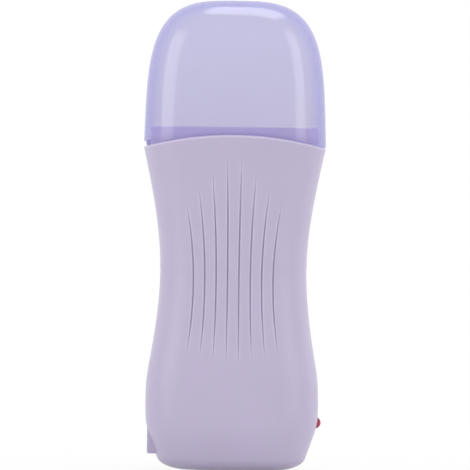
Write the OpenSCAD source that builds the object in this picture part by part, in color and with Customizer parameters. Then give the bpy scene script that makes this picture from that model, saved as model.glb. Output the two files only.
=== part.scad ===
// Hand-held heater for roll-on wax cartridges, with a lift-off cap. Sizes are in millimetres.
// The grooved front faces -Y, the lamp is on the +X side, the mains inlet is on the -X side
// and the roller end is up. The origin is the middle of the base.

/* [Body outline] */
// Width across the rim that the cap sits on
rim_w = 75.7; // [74:0.1:80]
// Depth across the rim
rim_d = 53.6; // [52:0.1:58]
// Height of the rim at its left and right ends
rim_z = 134; // [130:0.5:140]
// Rise of the rim from its ends to its middle
rim_rise = 5.3; // [3:0.1:8]
// Width of the waist
waist_w = 60.9; // [60:0.1:66]
// Depth of the waist
waist_d = 49.8; // [49:0.1:54]
// Height of the waist
waist_z = 84; // [78:0.5:90]
// Width of the lower bulge
bulge_w = 72.3; // [70:0.1:78]
// Depth of the lower bulge
bulge_d = 52.8; // [51:0.1:58]
// Height of the bulge's widest place
bulge_z = 34; // [30:0.5:38]
// Width of the tapering foot, carried down to the base plane
foot_w = 58.2; // [56:0.1:64]
// Depth of the tapering foot, carried down to the base plane
foot_d = 41.6; // [40:0.1:48]
// How far the foot's side leans out for each millimetre of height
foot_slope = 0.362; // [0.25:0.01:0.45]
// Width of the rounding under the foot, at the left and right
base_round_w = 10; // [6:0.5:12]
// Width of the rounding under the foot, at the front and rear
base_round_d = 6.5; // [4:0.5:8]
// Height of the rounding under the foot
base_round_h = 4.6; // [3:0.1:6]

/* [Shells] */
// Wall of the two casing shells
shell_wall = 1.8; // [1.5:0.1:2.2]
// Thickness of the shells' floor
floor_t = 2; // [1.5:0.1:3]
// Gap between the two shells at the seam
seam_gap = 0.2; // [0.1:0.05:0.4]
// Height of the ledge under the neck ring
ledge_h = 2.4; // [1.5:0.1:4]
// Reach of the ledge from the shell's inner face
ledge_reach = 1.6; // [1:0.1:2]
// Thickness of the ribs that hold the chamber
rib_t = 1.6; // [1.2:0.1:2.5]
// Height of the lower chamber rib
rib_low_z = 44; // [42:0.5:46]
// Height of the upper chamber rib
rib_high_z = 112; // [108:0.5:118]
// Width of the clear way that the chamber ribs leave in the middle
rib_clear_w = 40; // [38:1:44]
// Reach of the shelf under the chamber
shelf_reach = 4; // [2:0.5:5]

/* [Grip grooves] */
// Number of grooves on each side of the middle
groove_pairs = 4; // [2:1:4]
// Distance between grooves at the waist
groove_pitch = 4.7; // [4.2:0.1:5]
// Depth of a groove
groove_depth = 0.6; // [0.3:0.05:0.8]
// Radius of a groove's round floor
groove_r = 0.62; // [0.5:0.02:0.9]
// Height of the innermost grooves' top ends
groove_top_z = 128.5; // [124:0.5:130]
// Drop of the top end from one groove to the next one out
groove_top_step = 6.2; // [4:0.1:7]
// Height of the innermost grooves' bottom ends
groove_foot_z = 45; // [42:0.5:50]
// Rise of the bottom end from one groove to the next one out
groove_foot_step = 1.3; // [0:0.1:3]
// Outward bow of the outermost groove, 50 mm above or below its middle
groove_bow = 7.5; // [4:0.1:9]
// Height of the grooves' narrowest place
groove_mid_z = 78; // [72:0.5:84]

/* [Cap] */
// Height of the cap above the ends of the rim
cap_h = 61.1; // [56:0.1:70]
// Wall of the cap
cap_wall = 2; // [1.6:0.1:2.4]
// Narrowing of the cap on each side from its rim to its top
cap_draft = 2; // [1:0.1:3]
// How far the cap stands out past the rim of the body
cap_proud = 0.1; // [0:0.05:0.4]
// Gap between the cap and the rim that it sits on
cap_seat_gap = 0.25; // [0.2:0.05:0.5]
// Height of the finger notch in the cap's rim
notch_h = 1.9; // [1:0.1:3]
// Width of the finger notch
notch_w = 25; // [16:1:30]

/* [Neck] */
// Height of the collar above the middle of the rim
neck_h = 3; // [2.5:0.1:5]
// Wall of the collar
neck_wall = 1.8; // [1.4:0.1:2.4]
// Thickness of the neck's top plate
neck_plate_t = 2.2; // [1.6:0.1:3]
// Gap between the collar's bead and the cap
neck_gap = 0.3; // [0.3:0.05:0.5]
// How far the snap bead stands out of the collar
bead_h = 0.2; // [0.1:0.05:0.4]
// Height of the snap bead's band
bead_band = 0.8; // [0.5:0.1:1.4]
// Height of the snap bead above the rim
bead_rise = 2.4; // [1.5:0.1:2.6]
// Gap between the neck ring and the ledge that carries it
neck_seat_gap = 0.1; // [0.05:0.05:0.3]
// Gap between the neck ring and the shells' lip round it
neck_side_gap = 0.15; // [0.05:0.05:0.3]
// Depth of the neck ring below the ends of the rim
neck_drop = 3; // [2:0.1:4]

/* [Cartridge bay] */
// Width of the bay
bay_w = 53; // [52:0.1:53.5]
// Depth of the bay
bay_d = 33.5; // [32.5:0.1:34]
// Corner radius of the bay
bay_r = 13; // [12.5:0.1:15]
// How far the bay lies behind the body's middle plane
bay_y = 3; // [2:0.1:3.4]
// Height of the bay's floor
bay_floor_z = 39; // [38:0.5:42]
// Wall of the chamber sleeve
sleeve_wall = 1.2; // [1:0.1:1.4]
// Gap between the sleeve and the ribs that hold it
sleeve_gap = 0.3; // [0.2:0.05:0.5]
// Least gap between the shells' wall and the works inside them
works_gap = 0.25; // [0.2:0.05:0.5]

/* [Heater] */
// Width of the heating plate's face
plate_w = 26; // [22:0.5:26]
// Height of the heating plate's face
plate_h = 60; // [56:0.5:62]
// Height of the plate's lower edge
plate_z = 48; // [47:0.5:50]
// Gap round the plate in the sleeve's wall
plate_gap = 0.2; // [0.1:0.05:0.4]
// Thickness of the plate's flange
flange_t = 1.2; // [0.8:0.1:1.6]
// Reach of the flange past the plate's face
flange_reach = 2; // [1.5:0.1:2]
// Width of a heater stone
stone_w = 23; // [18:0.5:24]
// Height of a heater stone
stone_h = 11.6; // [9:0.1:12]
// Thickness of a heater stone
stone_t = 2.4; // [1.8:0.1:2.6]
// Gap between the two stones
stone_gap = 0.6; // [0.4:0.1:1.5]
// Height of the lower stone's lower edge
stone_z = 66; // [65:0.5:68]
// Thickness of an electrode sheet
electrode_t = 0.4; // [0.2:0.05:0.5]
// Width of an electrode's solder tab
tab_w = 4; // [3:0.1:5]
// Length of an electrode's solder tab
tab_l = 6; // [5.5:0.1:7]
// Distance of the solder tabs from the middle
tab_x = 9; // [8.6:0.1:9.4]
// Thickness of the insulating film
film_t = 0.2; // [0.1:0.05:0.3]
// Reach of the insulating film past the stones
film_edge = 1; // [0.6:0.1:1.5]
// Width of the clamp bar
clamp_w = 11; // [8:0.5:12]
// Thickness of the clamp bar
clamp_t = 1; // [0.8:0.1:1.4]
// Distance from the stones to a clamp screw
clamp_screw_off = 4.5; // [4:0.1:6]
// Radius of a clamp screw's shank
clamp_screw_r = 1.2; // [1:0.05:1.5]
// Radius of a clamp screw's head
clamp_head_r = 2.2; // [1.8:0.1:2.5]
// Height of a clamp screw's head
clamp_head_h = 1; // [0.8:0.1:1.2]
// Wall of the plate's bosses round the clamp screws
clamp_boss_wall = 1.3; // [1:0.1:1.6]
// Reach of the clamp bar past a screw's head
clamp_end = 0.6; // [0.4:0.1:1]
// Radius of the thermal fuse
fuse_r = 1.9; // [1.5:0.1:2]
// Length of the thermal fuse
fuse_l = 11; // [9:0.5:12]
// Height of the thermal fuse
fuse_z = 54; // [53:0.5:55]
// Radius of the fuse's leads
fuse_lead_r = 0.4; // [0.3:0.05:0.5]
// Length of the fuse's lead below it
fuse_tail = 3; // [2.5:0.1:4]
// Length of the fuse's lead beside it, up to the bend
fuse_lead_out = 2.5; // [2:0.1:3.5]

/* [Cartridge springs] */
// Width of a leaf spring
spring_w = 5; // [4:0.1:5.5]
// Thickness of a leaf spring
spring_t = 0.35; // [0.3:0.05:0.5]
// Distance of a spring's middle from the body's middle
spring_x = 10; // [9.5:0.1:10.5]
// Height of a spring's bend, about which it gives
spring_bend_z = 60; // [58:0.5:62]
// Length of the riveted foot below the bend
spring_foot = 4.5; // [4:0.1:5]
// Height of the crest above the bend
spring_crest = 24; // [20:0.5:26]
// Length of the tip above the crest
spring_tip = 10; // [8:0.5:12]
// How far the crest reaches into the bay
spring_reach = 1.45; // [1:0.05:2]
// Length of a spring's flat crest, on each side of its middle
crest_half = 2; // [1:0.1:3]
// How far the crest's ends and the spring's tip lie back
crest_back = 0.2; // [0.1:0.05:0.4]
// Length of a spring's straight part above its bend
spring_rise = 1; // [0.8:0.1:2]
// Distance from a spring's bend to its slot's lower end
slot_rise = 0.5; // [0.3:0.1:1]
// Distance from a spring's tip to its slot's upper end
slot_over = 2; // [1:0.1:3]
// Gap between a spring and the sleeve
spring_gap = 0.3; // [0.25:0.05:0.4]
// Radius of a rivet's shank
rivet_r = 0.8; // [0.6:0.05:1]
// Radius of a rivet's head
rivet_head_r = 1.6; // [1.3:0.1:2]
// Height of a rivet's head
rivet_head_h = 0.6; // [0.4:0.1:0.8]

/* [Level window] */
// Width of the window lens
window_w = 8; // [6:0.5:10]
// Height of the window lens
window_h = 58; // [50:1:60]
// Height of the window's middle
window_z = 93; // [90:0.5:95]
// Gap round the window lens
window_gap = 0.15; // [0.1:0.05:0.3]
// How far the lens lies below the shell's surface
window_sink = 0.2; // [0.1:0.05:0.5]

/* [Mains inlet] */
// Distance of the inlet housing's outer face from the middle
boss_x = 35; // [34.5:0.1:36]
// Height of the housing's underside
boss_z = 6.5; // [6.5:0.1:8]
// Height of the housing's top, which is inside the bulge
boss_top_z = 28; // [27:0.1:30]
// Depth of the housing, from front to rear
boss_d = 16; // [15:0.5:20]
// Edge rounding of the housing
boss_r = 1.2; // [0.6:0.1:2]
// How far the inlet's face lies below the housing's
inlet_sink = 0.4; // [0.2:0.1:1]
// Length of the inlet insert in the housing
inlet_l = 9.4; // [9:0.1:11]
// Thickness of the insert's flange
inlet_flange_t = 1.7; // [1.2:0.1:2.5]
// Reach of the flange above and below the insert
inlet_flange_h = 1.2; // [0.8:0.1:2]
// Reach of the flange in front of and behind the insert
inlet_flange_d = 2; // [1:0.1:3]
// Height of the inlet's middle
inlet_z = 17; // [16.8:0.1:17.4]
// Height of the inlet insert
inlet_h = 18.6; // [18:0.1:19]
// Depth of the inlet insert, from front to rear
inlet_d = 10; // [9.6:0.1:11]
// Gap round the inlet insert
inlet_gap = 0.2; // [0.1:0.05:0.3]
// Depth of the socket's recess
socket_depth = 9; // [8:0.1:10]
// Distance between the two pins
pin_pitch = 8.6; // [8.4:0.1:8.8]
// Radius of a pin
pin_r = 1.2; // [1.15:0.01:1.25]
// Length of a pin in the recess, with its round end
pin_l = 8; // [7:0.1:8.5]
// Radius of the recess round a pin
lobe_r = 3.9; // [3.6:0.1:4]
// Width of the slot that joins the two lobes of the recess
lobe_slot = 6; // [5:0.1:7]
// How much thicker a pin's root is than the pin, at its radius
pin_root_step = 0.4; // [0.2:0.05:0.6]
// Length of a pin's root behind the flange
pin_root_l = 1.8; // [1.5:0.1:3]
// Length of a pin's terminal
terminal_l = 3.5; // [3:0.1:5]
// Width of a pin's terminal
terminal_w = 4.4; // [3:0.1:5]
// Thickness of a pin's terminal
terminal_t = 1.6; // [0.8:0.1:2]

/* [Indicator lamp] */
// Height at which the lamp's axis leaves the body
lamp_z = 19.6; // [18:0.1:21]
// Downward tilt of the lamp's axis
lamp_tilt = 15; // [5:1:20]
// Radius of the lamp
lamp_r = 2.5; // [2.4:0.1:2.6]
// How far the lamp stands out of the body
lamp_proud = 1.5; // [1:0.1:2]
// Length of the lamp's straight part
lamp_body = 6.1; // [5.5:0.1:6.5]
// Gap between the lamp and its hole
lamp_gap = 0.15; // [0.1:0.05:0.3]
// Width of the bevel round the lamp's hole
lamp_bevel = 0.85; // [0.4:0.05:1.2]
// Radius of one of the lamp's leads
lamp_lead_r = 0.3; // [0.2:0.05:0.4]
// Distance between the lamp's leads
lamp_lead_pitch = 2.54; // [2:0.01:3]
// Length of the lamp's leads, down to the board
lamp_lead_l = 4.5; // [4:0.1:6]
// Height of the collar at the lamp's back
lamp_collar_h = 1; // [0.8:0.1:1.4]
// How far the collar stands out of the lamp's side
lamp_collar_reach = 0.4; // [0.3:0.05:0.5]
// Gap between the lamp's holder and what lies in front of it and behind it
holder_gap = 1.1; // [0.9:0.1:1.5]
// Wall of the lamp holder
holder_wall = 1.5; // [1:0.1:2]
// Width of the lamp's circuit board
board_w = 12; // [10:0.5:14]
// Height of the lamp's circuit board
board_h = 13; // [11:0.5:14]
// Thickness of the lamp's circuit board
board_t = 1.2; // [0.8:0.1:1.6]
// Distance from the board's middle to the parts on it
board_part_off = 3.2; // [3:0.1:4]
// Radius of the resistor
resistor_r = 1.1; // [0.8:0.1:1.3]
// Length of the resistor
resistor_l = 6.3; // [5:0.1:7]
// Radius of the diode
diode_r = 1.2; // [1:0.1:1.4]
// Length of the diode
diode_l = 5; // [4:0.1:6]

/* [Fastening] */
// Distance of the lower casing screws from the middle
screw_low_x = 8.5; // [8:0.1:9]
// Height of the lower casing screws
screw_low_z = 11; // [10.5:0.1:12]
// Distance of the upper casing screws from the middle
screw_high_x = 17; // [16.5:0.1:17.5]
// Height of the upper casing screws
screw_high_z = 31; // [30:0.1:31.5]
// Radius of a casing screw's shank
screw_r = 1.3; // [1.1:0.05:1.5]
// Radius of a casing screw's head
screw_head_r = 2.5; // [2.2:0.1:2.7]
// Height of a casing screw's head
screw_head_h = 1.8; // [1.4:0.1:2.2]
// Length of a casing screw's shank
screw_l = 16; // [13:0.5:18]
// Distance of the screw heads' seats from the seam
screw_seat_y = 9; // [7:0.5:11]
// Wall of the screw posts
post_wall = 1.3; // [1:0.1:1.6]
// Gap round a screw in its post
screw_gap = 0.15; // [0.1:0.05:0.3]
// Depth of a screw post's hole past the screw's tip
screw_spare = 1; // [0.5:0.1:2]
// Thickness of the post's floor that a screw's head seats on
screw_floor = 2; // [1.5:0.1:3]
// Width of the cross recess in a screw's head
recess_w = 0.6; // [0.5:0.05:0.8]
// Span of the cross recess
recess_span = 2.6; // [2:0.1:3]
// Depth of the cross recess
recess_depth = 0.8; // [0.5:0.1:1]
// Height of the upper snap tabs
tab_high_z = 122; // [118:0.5:124]
// Height of the lower snap tabs
tab_low_z = 54; // [50:0.5:58]
// Width of a snap tab
snap_w = 7; // [5:0.5:10]
// Thickness of a snap tab
snap_t = 1.1; // [0.8:0.1:1.4]
// Reach of a snap tab past the seam
snap_reach = 3.2; // [2.5:0.1:4]
// Length of a snap tab's root in front of the seam
snap_root = 3.5; // [2.5:0.1:5]
// Length of the tie between a tab's root and the shell's wall
snap_tie = 2; // [1.5:0.1:3]
// Length of the hook along the tab
snap_hook_l = 0.8; // [0.6:0.1:1.2]
// Distance from the tab's end to the middle of its hook
snap_hook_off = 1; // [0.7:0.1:1.5]
// Height of the hook on a snap tab
snap_hook = 0.6; // [0.4:0.1:0.8]
// Gap round a snap tab
snap_gap = 0.25; // [0.15:0.05:0.4]

/* [Wiring] */
// Radius of the mains wires
wire_r = 0.8; // [0.6:0.05:0.9]
// Radius of the lamp's wires
lamp_wire_r = 0.5; // [0.4:0.05:0.6]
// Distance from the heating plate's flange to the middle of the wires that pass it
wire_off = 2.4; // [2:0.1:2.6]

/* [Hidden] */

lilac = [0.72, 0.69, 0.80];
ivory = [0.90, 0.89, 0.86];
steel = [0.72, 0.73, 0.75];

// Shape of the outline curves
plan_power = 3;          // squareness of the plan section
upper_soft = 7.8;        // roundness of the waist above its narrowest place
lower_soft = 16.8;       // and below it
bulge_over = 0.85;       // how far the waist's curve runs past the bulge before it is cut back
bulge_blend = 1.2;       // softness of the turn into the bulge
foot_blend = 1;          // softness of the turn into the foot
dome_power = 4.3;        // how late the cap's sides start to turn in
dome_corner = 3.28;      // squareness of the cap's shoulder
bow_power = 1.3;         // how the grooves' bow grows from the middle outwards
bow_span = 50;           // height over which groove_bow is measured

// Fineness of the curved surfaces
ring_n = 48;             // points round a section
round_steps = 5;         // rings on the rounding under the foot
wall_steps = 28;         // rings on the body above it
dome_steps = 20;         // rings on the cap
arch_steps = 24;         // points along the rim's arch
groove_steps = 12;       // straight stretches of a groove
fine = 64;               // facets of a round hole or shaft
coarse = 24;             // facets of a round detail in a shell
cut = 0.5;               // how far a cutter runs past what it cuts
sliver = 0.02;           // thickness of a slice that a hull starts from
far = 120;               // longer than half of any section

// Heights and places that follow from the driving sizes
rim_top_z = rim_z + rim_rise;
arch_r = (pow(rim_w / 2, 2) + pow(rim_rise, 2)) / (2 * rim_rise);
arch_z = rim_top_z - arch_r;
neck_top_z = rim_top_z + neck_h;
neck_foot_z = rim_z - neck_drop;
ledge_top_z = neck_foot_z - neck_seat_gap;

function soft_min(a, b, blend) = (a + b - sqrt(pow(a - b, 2) + blend * blend)) / 2;
// A curve that is level at 0 and has come to rise at run; soft sets how round it starts.
function flare(d, rise, run, soft) =
    let (gain = sqrt(pow(abs(rise) + soft, 2) - soft * soft) / run)
    sign(rise) * (sqrt(soft * soft + pow(gain * d, 2)) - soft);
function half_size(z, waist, rim, bulge, foot) =
    z > waist_z
    ? waist + flare(z - waist_z, rim - waist, rim_z - waist_z, upper_soft)
    : let (out = bulge - waist,
           below = flare(waist_z - z, abs(out) + bulge_over, waist_z - bulge_z, lower_soft))
      soft_min(waist + sign(out) * soft_min(below, abs(out), bulge_blend),
               foot + z * foot_slope, foot_blend);
function base_inset(z, run) =
    z < base_round_h ? run * (1 - sqrt(1 - pow(1 - max(z, 0) / base_round_h, 2))) : 0;
function body_hw(z) =
    half_size(z, waist_w / 2, rim_w / 2, bulge_w / 2, foot_w / 2) - base_inset(z, base_round_w);
function body_hd(z) =
    half_size(z, waist_d / 2, rim_d / 2, bulge_d / 2, foot_d / 2) - base_inset(z, base_round_d);
// Half the body's depth at a place x from its middle
function surface_y(x, z, inset = 0) =
    (body_hd(z) - inset)
    * pow(1 - pow(abs(x) / (body_hw(z) - inset), plan_power), 1 / plan_power);
function rim_at(x) = arch_z + sqrt(arch_r * arch_r - x * x);

// Points on the plan section of half size 1, at even angles
function plan_point(a) =
    let (size = pow(pow(abs(cos(a)), plan_power) + pow(abs(sin(a)), plan_power), -1 / plan_power))
    [cos(a) * size, sin(a) * size];
plan = [for (i = [0 : ring_n - 1]) plan_point(360 * i / ring_n)];
function plan_ring(hw, hd, z) = [for (p = plan) [p.x * hw, p.y * hd, z]];

// Triangles between successive rings of n points; turned swaps the side that they face.
function side_faces(rings, n, first = 0, turned = false) =
    [for (k = [0 : rings - 2]) for (i = [0 : n - 1])
        let (a = first + k * n + i, b = first + k * n + (i + 1) % n, c = b + n, d = a + n)
        each turned ? [[a, b, c], [a, c, d]] : [[a, c, b], [a, d, c]]];
function end_face(n, first, turned = false) =
    [turned ? [for (i = [n - 1 : -1 : 0]) first + i] : [for (i = [0 : n - 1]) first + i]];

// The end of a band: triangles between its outer and its inner edge
function band_end(n, first, turned = false) =
    [for (i = [0 : n / 2 - 2])
        let (a = first + i, b = a + 1, c = first + n - 2 - i, d = c + 1)
        each turned ? [[a, c, b], [a, d, c]] : [[a, b, c], [a, c, d]]];

module loft(rings, band = false) {
    n = len(rings[0]);
    last = (len(rings) - 1) * n;
    ends = band ? concat(band_end(n, 0), band_end(n, last, true))
                : concat(end_face(n, 0), end_face(n, last, true));
    polyhedron(points = [for (r = rings) each r],
               faces = concat(side_faces(len(rings), n), ends));
}

// The body's outline as a solid, drawn in by inset, from height low up
module body_solid(inset = 0, low = 0) {
    round_zs = [for (k = [0 : round_steps - 1])
        base_round_h * (1 - cos(90 * k / round_steps))];
    wall_zs = [for (k = [0 : wall_steps])
        base_round_h + (rim_top_z + 1 - base_round_h) * k / wall_steps];
    zs = concat([low], [for (z = concat(round_zs, wall_zs)) if (z > low + 0.1) z]);
    loft([for (z = zs) plan_ring(body_hw(z) - inset, body_hd(z) - inset, z)]);
}

// Everything below the arch of the rim
module under_arch() {
    crown = [for (k = [-arch_steps / 2 : arch_steps / 2])
        let (x = k * (rim_w / 2 + 2) / (arch_steps / 2)) [x, rim_at(x)]];
    rotate([90, 0, 0])
        linear_extrude(2 * far, center = true)
            polygon(concat([[far, -far], [-far, -far], [-far, crown[0].y]], crown,
                           [[far, crown[0].y]]));
}

// Half of space: side is -1 for the front and 1 for the rear
module half_space(side) {
    y = side * (far + seam_gap / 2);
    translate([0, y, far])
        cube([4 * far, 2 * far, 4 * far], center = true);
}

module rounded_rect(w, d, r) {
    square([w - 2 * r, d], center = true);
    square([w, d - 2 * r], center = true);
    for (x = [-1, 1], y = [-1, 1])
        translate([x * (w / 2 - r), y * (d / 2 - r)])
            circle(r, $fn = fine);
}

// A cylinder from y0 to y1, parallel to Y
module along_y(x, z, r, y0, y1, facets = fine) {
    translate([x, y1, z])
        rotate([90, 0, 0])
            cylinder(h = y1 - y0, r = r, $fn = facets);
}

// A cylinder from x0 to x1, parallel to X
module along_x(y, z, r, x0, x1, facets = fine) {
    translate([x0, y, z])
        rotate([0, 90, 0])
            cylinder(h = x1 - x0, r = r, $fn = facets);
}

// A box between two corners
module block(low, high) {
    translate(low)
        cube(high - low);
}

// ---- casing ----

shell_screws = [[-screw_low_x, screw_low_z], [screw_low_x, screw_low_z],
                [-screw_high_x, screw_high_z], [screw_high_x, screw_high_z]];
inlet_face_x = boss_x - inlet_sink;
boss_inner_x = inlet_face_x - inlet_l;
post_r = screw_r + screw_gap + post_wall;
head_post_r = screw_head_r + screw_gap + post_wall;

// The room that the chamber and the heater stack need, with grow more on every side. The shells
// go round it where the body's outline alone is too slim.
module works_room(grow) {
    room = works_gap + grow;
    chamber_room(room);
    plate_mid_z = plate_z + plate_h / 2;
    stones_mid_z = stone_z + stones_h / 2;
    spring_mid_z = (spring_bend_z - spring_foot + spring_slot_high) / 2;
    // Each layer: its middle, its half width, how far it reaches in y, and its half height
    for (layer = [[0, plate_mid_z, plate_w / 2 + flange_reach, flange_y, plate_h / 2 + flange_reach],
                  [0, stones_mid_z, stone_w / 2 + film_edge, outer_film_y, stones_h / 2 + film_edge],
                  [0, stones_mid_z, clamp_w / 2, clamp_y - clamp_head_h,
                   stones_h / 2 + clamp_screw_off + clamp_head_r + clamp_end],
                  for (x = [-spring_x, spring_x]) each
                      [[x, rivet_z, rivet_head_r, rivet_end_y, rivet_head_r],
                       [x, spring_mid_z, spring_w / 2, spring_y + spring_t,
                        spring_slot_high - spring_mid_z]]])
        translate([layer[0], (layer[3] + bay_y + sign(layer[3]) * room) / 2, layer[1]])
            cube([2 * (layer[2] + room), abs(layer[3] - bay_y) + room, 2 * (layer[4] + room)],
                 center = true);
    for (z = [tab_low_z, tab_high_z])
        translate([0, 0, z])
            cube([2 * (snap_wall_least + grow), 2 * (snap_root + grow), snap_w + 2 * room],
                 center = true);
}

module chamber_room(room) {
    translate([0, 0, bay_floor_z - sleeve_wall])
        linear_extrude(ledge_top_z - bay_floor_z + sleeve_wall)
            bay_outline(sleeve_wall + room);
}

// The shells' skin, with the ledge and lip at the neck and the ribs and shelf at the chamber
module shell_skin() {
    difference() {
        union() {
            body_solid();
            works_room(shell_wall);
        }
        difference() {
            union() {
                body_solid(shell_wall, floor_t);
                works_room(0);
                translate([0, 0, ledge_top_z])
                    linear_extrude(far)
                        neck_outline(neck_side_gap);
            }
            difference() {
                block([-far, -far, ledge_top_z - ledge_h], [far, far, ledge_top_z]);
                body_solid(shell_wall + ledge_reach, floor_t);
                chamber_room(sleeve_gap);
            }
            difference() {
                block([-far, -far, ledge_top_z], [far, far, 2 * far]);
                linear_extrude(2 * far)
                    neck_outline(neck_side_gap);
            }
            for (z = [rib_low_z, rib_high_z])
                chamber_rib(z, sleeve_gap);
            chamber_rib(bay_floor_z - sleeve_wall - sleeve_gap - rib_t, -shelf_reach);
        }
    }
}

// A rib from the shells' wall to off past the sleeve's outside, or under it where off is negative
module chamber_rib(z, off) {
    translate([0, 0, z])
        linear_extrude(rib_t)
            difference() {
                square(2 * far, center = true);
                square([rib_clear_w, 2 * far], center = true);
                bay_outline(sleeve_wall + off);
            }
}

// The housing round the mains inlet, which both shells share
module inlet_boss() {
    ball_y = boss_d / 2 - boss_r;
    hull() {
        for (y = [-ball_y, ball_y], z = [boss_z + boss_r, boss_top_z - boss_r])
            translate([-boss_x + boss_r, y, z])
                sphere(boss_r, $fn = coarse);
        block([-boss_inner_x - boss_r, -boss_d / 2, boss_z],
              [-boss_inner_x, boss_d / 2, boss_top_z]);
    }
}

module slot_outline(h, d) {
    hull()
        for (z = [-1, 1])
            translate([z * (h - d) / 2, 0])
                circle(d / 2, $fn = 32);
}

// A slot with round ends, upright, cut through along X
module inlet_opening() {
    translate([-boss_inner_x + cut, 0, inlet_z])
        rotate([0, -90, 0])
            linear_extrude(far)
                slot_outline(inlet_h + 2 * inlet_gap, inlet_d + 2 * inlet_gap);
}

lamp_axis = [cos(lamp_tilt), 0, -sin(lamp_tilt)];
lamp_down = [-sin(lamp_tilt), 0, -cos(lamp_tilt)];

// The point d out from the shell's surface on the lamp's axis, then down and back from it
function lamp_point(down, back, d) =
    [body_hw(lamp_z), back, lamp_z] + d * lamp_axis + down * lamp_down;

// Places on the lamp's axis: d is the distance outwards from the shell's surface
module on_lamp_axis(d) {
    translate([body_hw(lamp_z), 0, lamp_z])
        rotate([0, 90 + lamp_tilt, 0])
            translate([0, 0, d])
                children();
}

module lamp_hole() {
    hole_r = lamp_r + lamp_gap;
    on_lamp_axis(-3 * shell_wall)
        cylinder(h = 6 * shell_wall, r = hole_r, $fn = coarse);
    on_lamp_axis(-lamp_bevel / 3)
        cylinder(h = lamp_bevel, r1 = hole_r, r2 = hole_r + lamp_bevel, $fn = coarse);
}

// A half shell, cut from the skin and the inlet housing
module half_shell(side) {
    difference() {
        intersection() {
            union() {
                shell_skin();
                inlet_boss();
            }
            under_arch();
            half_space(side);
        }
        inlet_opening();
        lamp_hole();
    }
}

// Height of the top end and the bottom end of groove i, counted from the middle
function groove_high(i) = groove_top_z - i * groove_top_step;
function groove_low(i) = groove_foot_z + i * groove_foot_step;
function groove_x(i, z) =
    let (x0 = (i + 0.5) * groove_pitch, outer = (groove_pairs - 0.5) * groove_pitch)
    x0 + groove_bow * pow(x0 / outer, bow_power) * pow((z - groove_mid_z) / bow_span, 2);
// Point j of groove i: its floor lies groove_depth deep, and comes up to the surface at the ends.
function groove_point(i, side, j) =
    let (t = j / groove_steps,
         z = groove_low(i) + (groove_high(i) - groove_low(i)) * t,
         x = side * groove_x(i, z),
         depth = groove_depth * pow(sin(180 * t), 0.4),
         y = -surface_y(x, z) + depth - groove_r)
    [x, y, z];

module groove(i, side) {
    for (j = [0 : groove_steps - 1])
        hull()
            for (k = [j, j + 1])
                translate(groove_point(i, side, k))
                    sphere(groove_r, $fn = 10);
}

// A post in the front shell that a casing screw bites into
module front_post(p) {
    intersection() {
        difference() {
            along_y(p.x, p.y, post_r, -far, -seam_gap / 2, coarse);
            along_y(p.x, p.y, screw_r + screw_gap, screw_seat_y - screw_l - screw_spare, cut,
                    coarse);
        }
        body_solid(shell_wall / 2, floor_t / 2);
    }
}

// A post in the rear shell with a deep counterbore for the screw's head
module rear_post(p) {
    intersection() {
        union() {
            along_y(p.x, p.y, head_post_r, screw_seat_y - screw_floor, far, coarse);
            along_y(p.x, p.y, post_r, seam_gap / 2, screw_seat_y, coarse);
        }
        body_solid(shell_wall / 2, floor_t / 2);
    }
}

module rear_post_bore(p) {
    along_y(p.x, p.y, screw_r + screw_gap, -cut, far, coarse);
    along_y(p.x, p.y, screw_head_r + screw_gap, screw_seat_y, far, coarse);
}

// The shells' inner face beside a snap tab, which leaves the tab its room next to the chamber
snap_wall_least = bay_w / 2 + sleeve_wall + works_gap + snap_t + snap_gap;
function snap_wall_x(z) = max(body_hw(z) - shell_wall, snap_wall_least);

// A snap tab on the front shell's edge, with its hook turned outwards
module snap_tab(side, z, grow = 0) {
    wall_x = snap_wall_x(z);
    back_x = wall_x - snap_gap - snap_t;
    hull()
        for (y = [-snap_root, snap_reach + grow])
            block([side > 0 ? back_x : -wall_x + snap_gap, y - sliver, z - snap_w / 2 - grow],
                  [side > 0 ? wall_x - snap_gap : -back_x, y, z + snap_w / 2 + grow]);
    hook_x = wall_x - snap_gap + snap_hook;
    hull() {
        for (x = [side * (back_x + snap_t / 2), side * (hook_x + grow)])
            translate([x, snap_reach - snap_hook_off, z])
                cube([sliver, snap_hook_l + 2 * grow, snap_w + 2 * grow], center = true);
    }
}

// Ties a snap tab's root to the front shell's wall
module snap_root(side, z) {
    wall_x = snap_wall_x(z);
    hull()
        for (x = [wall_x - snap_gap - snap_t, wall_x + shell_wall / 3])
            translate([side * x, snap_tie / 2 - snap_root, z])
                cube([sliver, snap_tie, snap_w], center = true);
}

module front_shell() {
    color(lilac) {
        difference() {
            half_shell(-1);
            for (i = [0 : groove_pairs - 1], side = [-1, 1])
                groove(i, side);
        }
        for (p = shell_screws)
            front_post(p);
        for (side = [-1, 1], z = [tab_low_z, tab_high_z]) {
            snap_tab(side, z);
            snap_root(side, z);
        }
    }
}

module window_hole() {
    translate([0, bay_y, window_z])
        rotate([-90, 90, 0])
            linear_extrude(far)
                slot_outline(window_h + 2 * window_gap, window_w + 2 * window_gap);
}

module rear_shell() {
    color(lilac)
        difference() {
            union() {
                half_shell(1);
                for (p = shell_screws)
                    rear_post(p);
            }
            for (p = shell_screws)
                rear_post_bore(p);
            window_hole();
            for (side = [-1, 1], z = [tab_low_z, tab_high_z])
                snap_tab(side, z, snap_gap);
        }
}

module casing_screws() {
    color(steel)
        for (p = shell_screws) {
            along_y(p.x, p.y, screw_r, screw_seat_y - screw_l, screw_seat_y);
            difference() {
                along_y(p.x, p.y, screw_head_r, screw_seat_y, screw_seat_y + screw_head_h);
                for (turn = [0, 90])
                    translate([p.x, screw_seat_y + screw_head_h, p.y])
                        rotate([0, turn, 0])
                            cube([recess_w, 2 * recess_depth, recess_span], center = true);
            }
        }
}

// ---- cap ----

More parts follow.
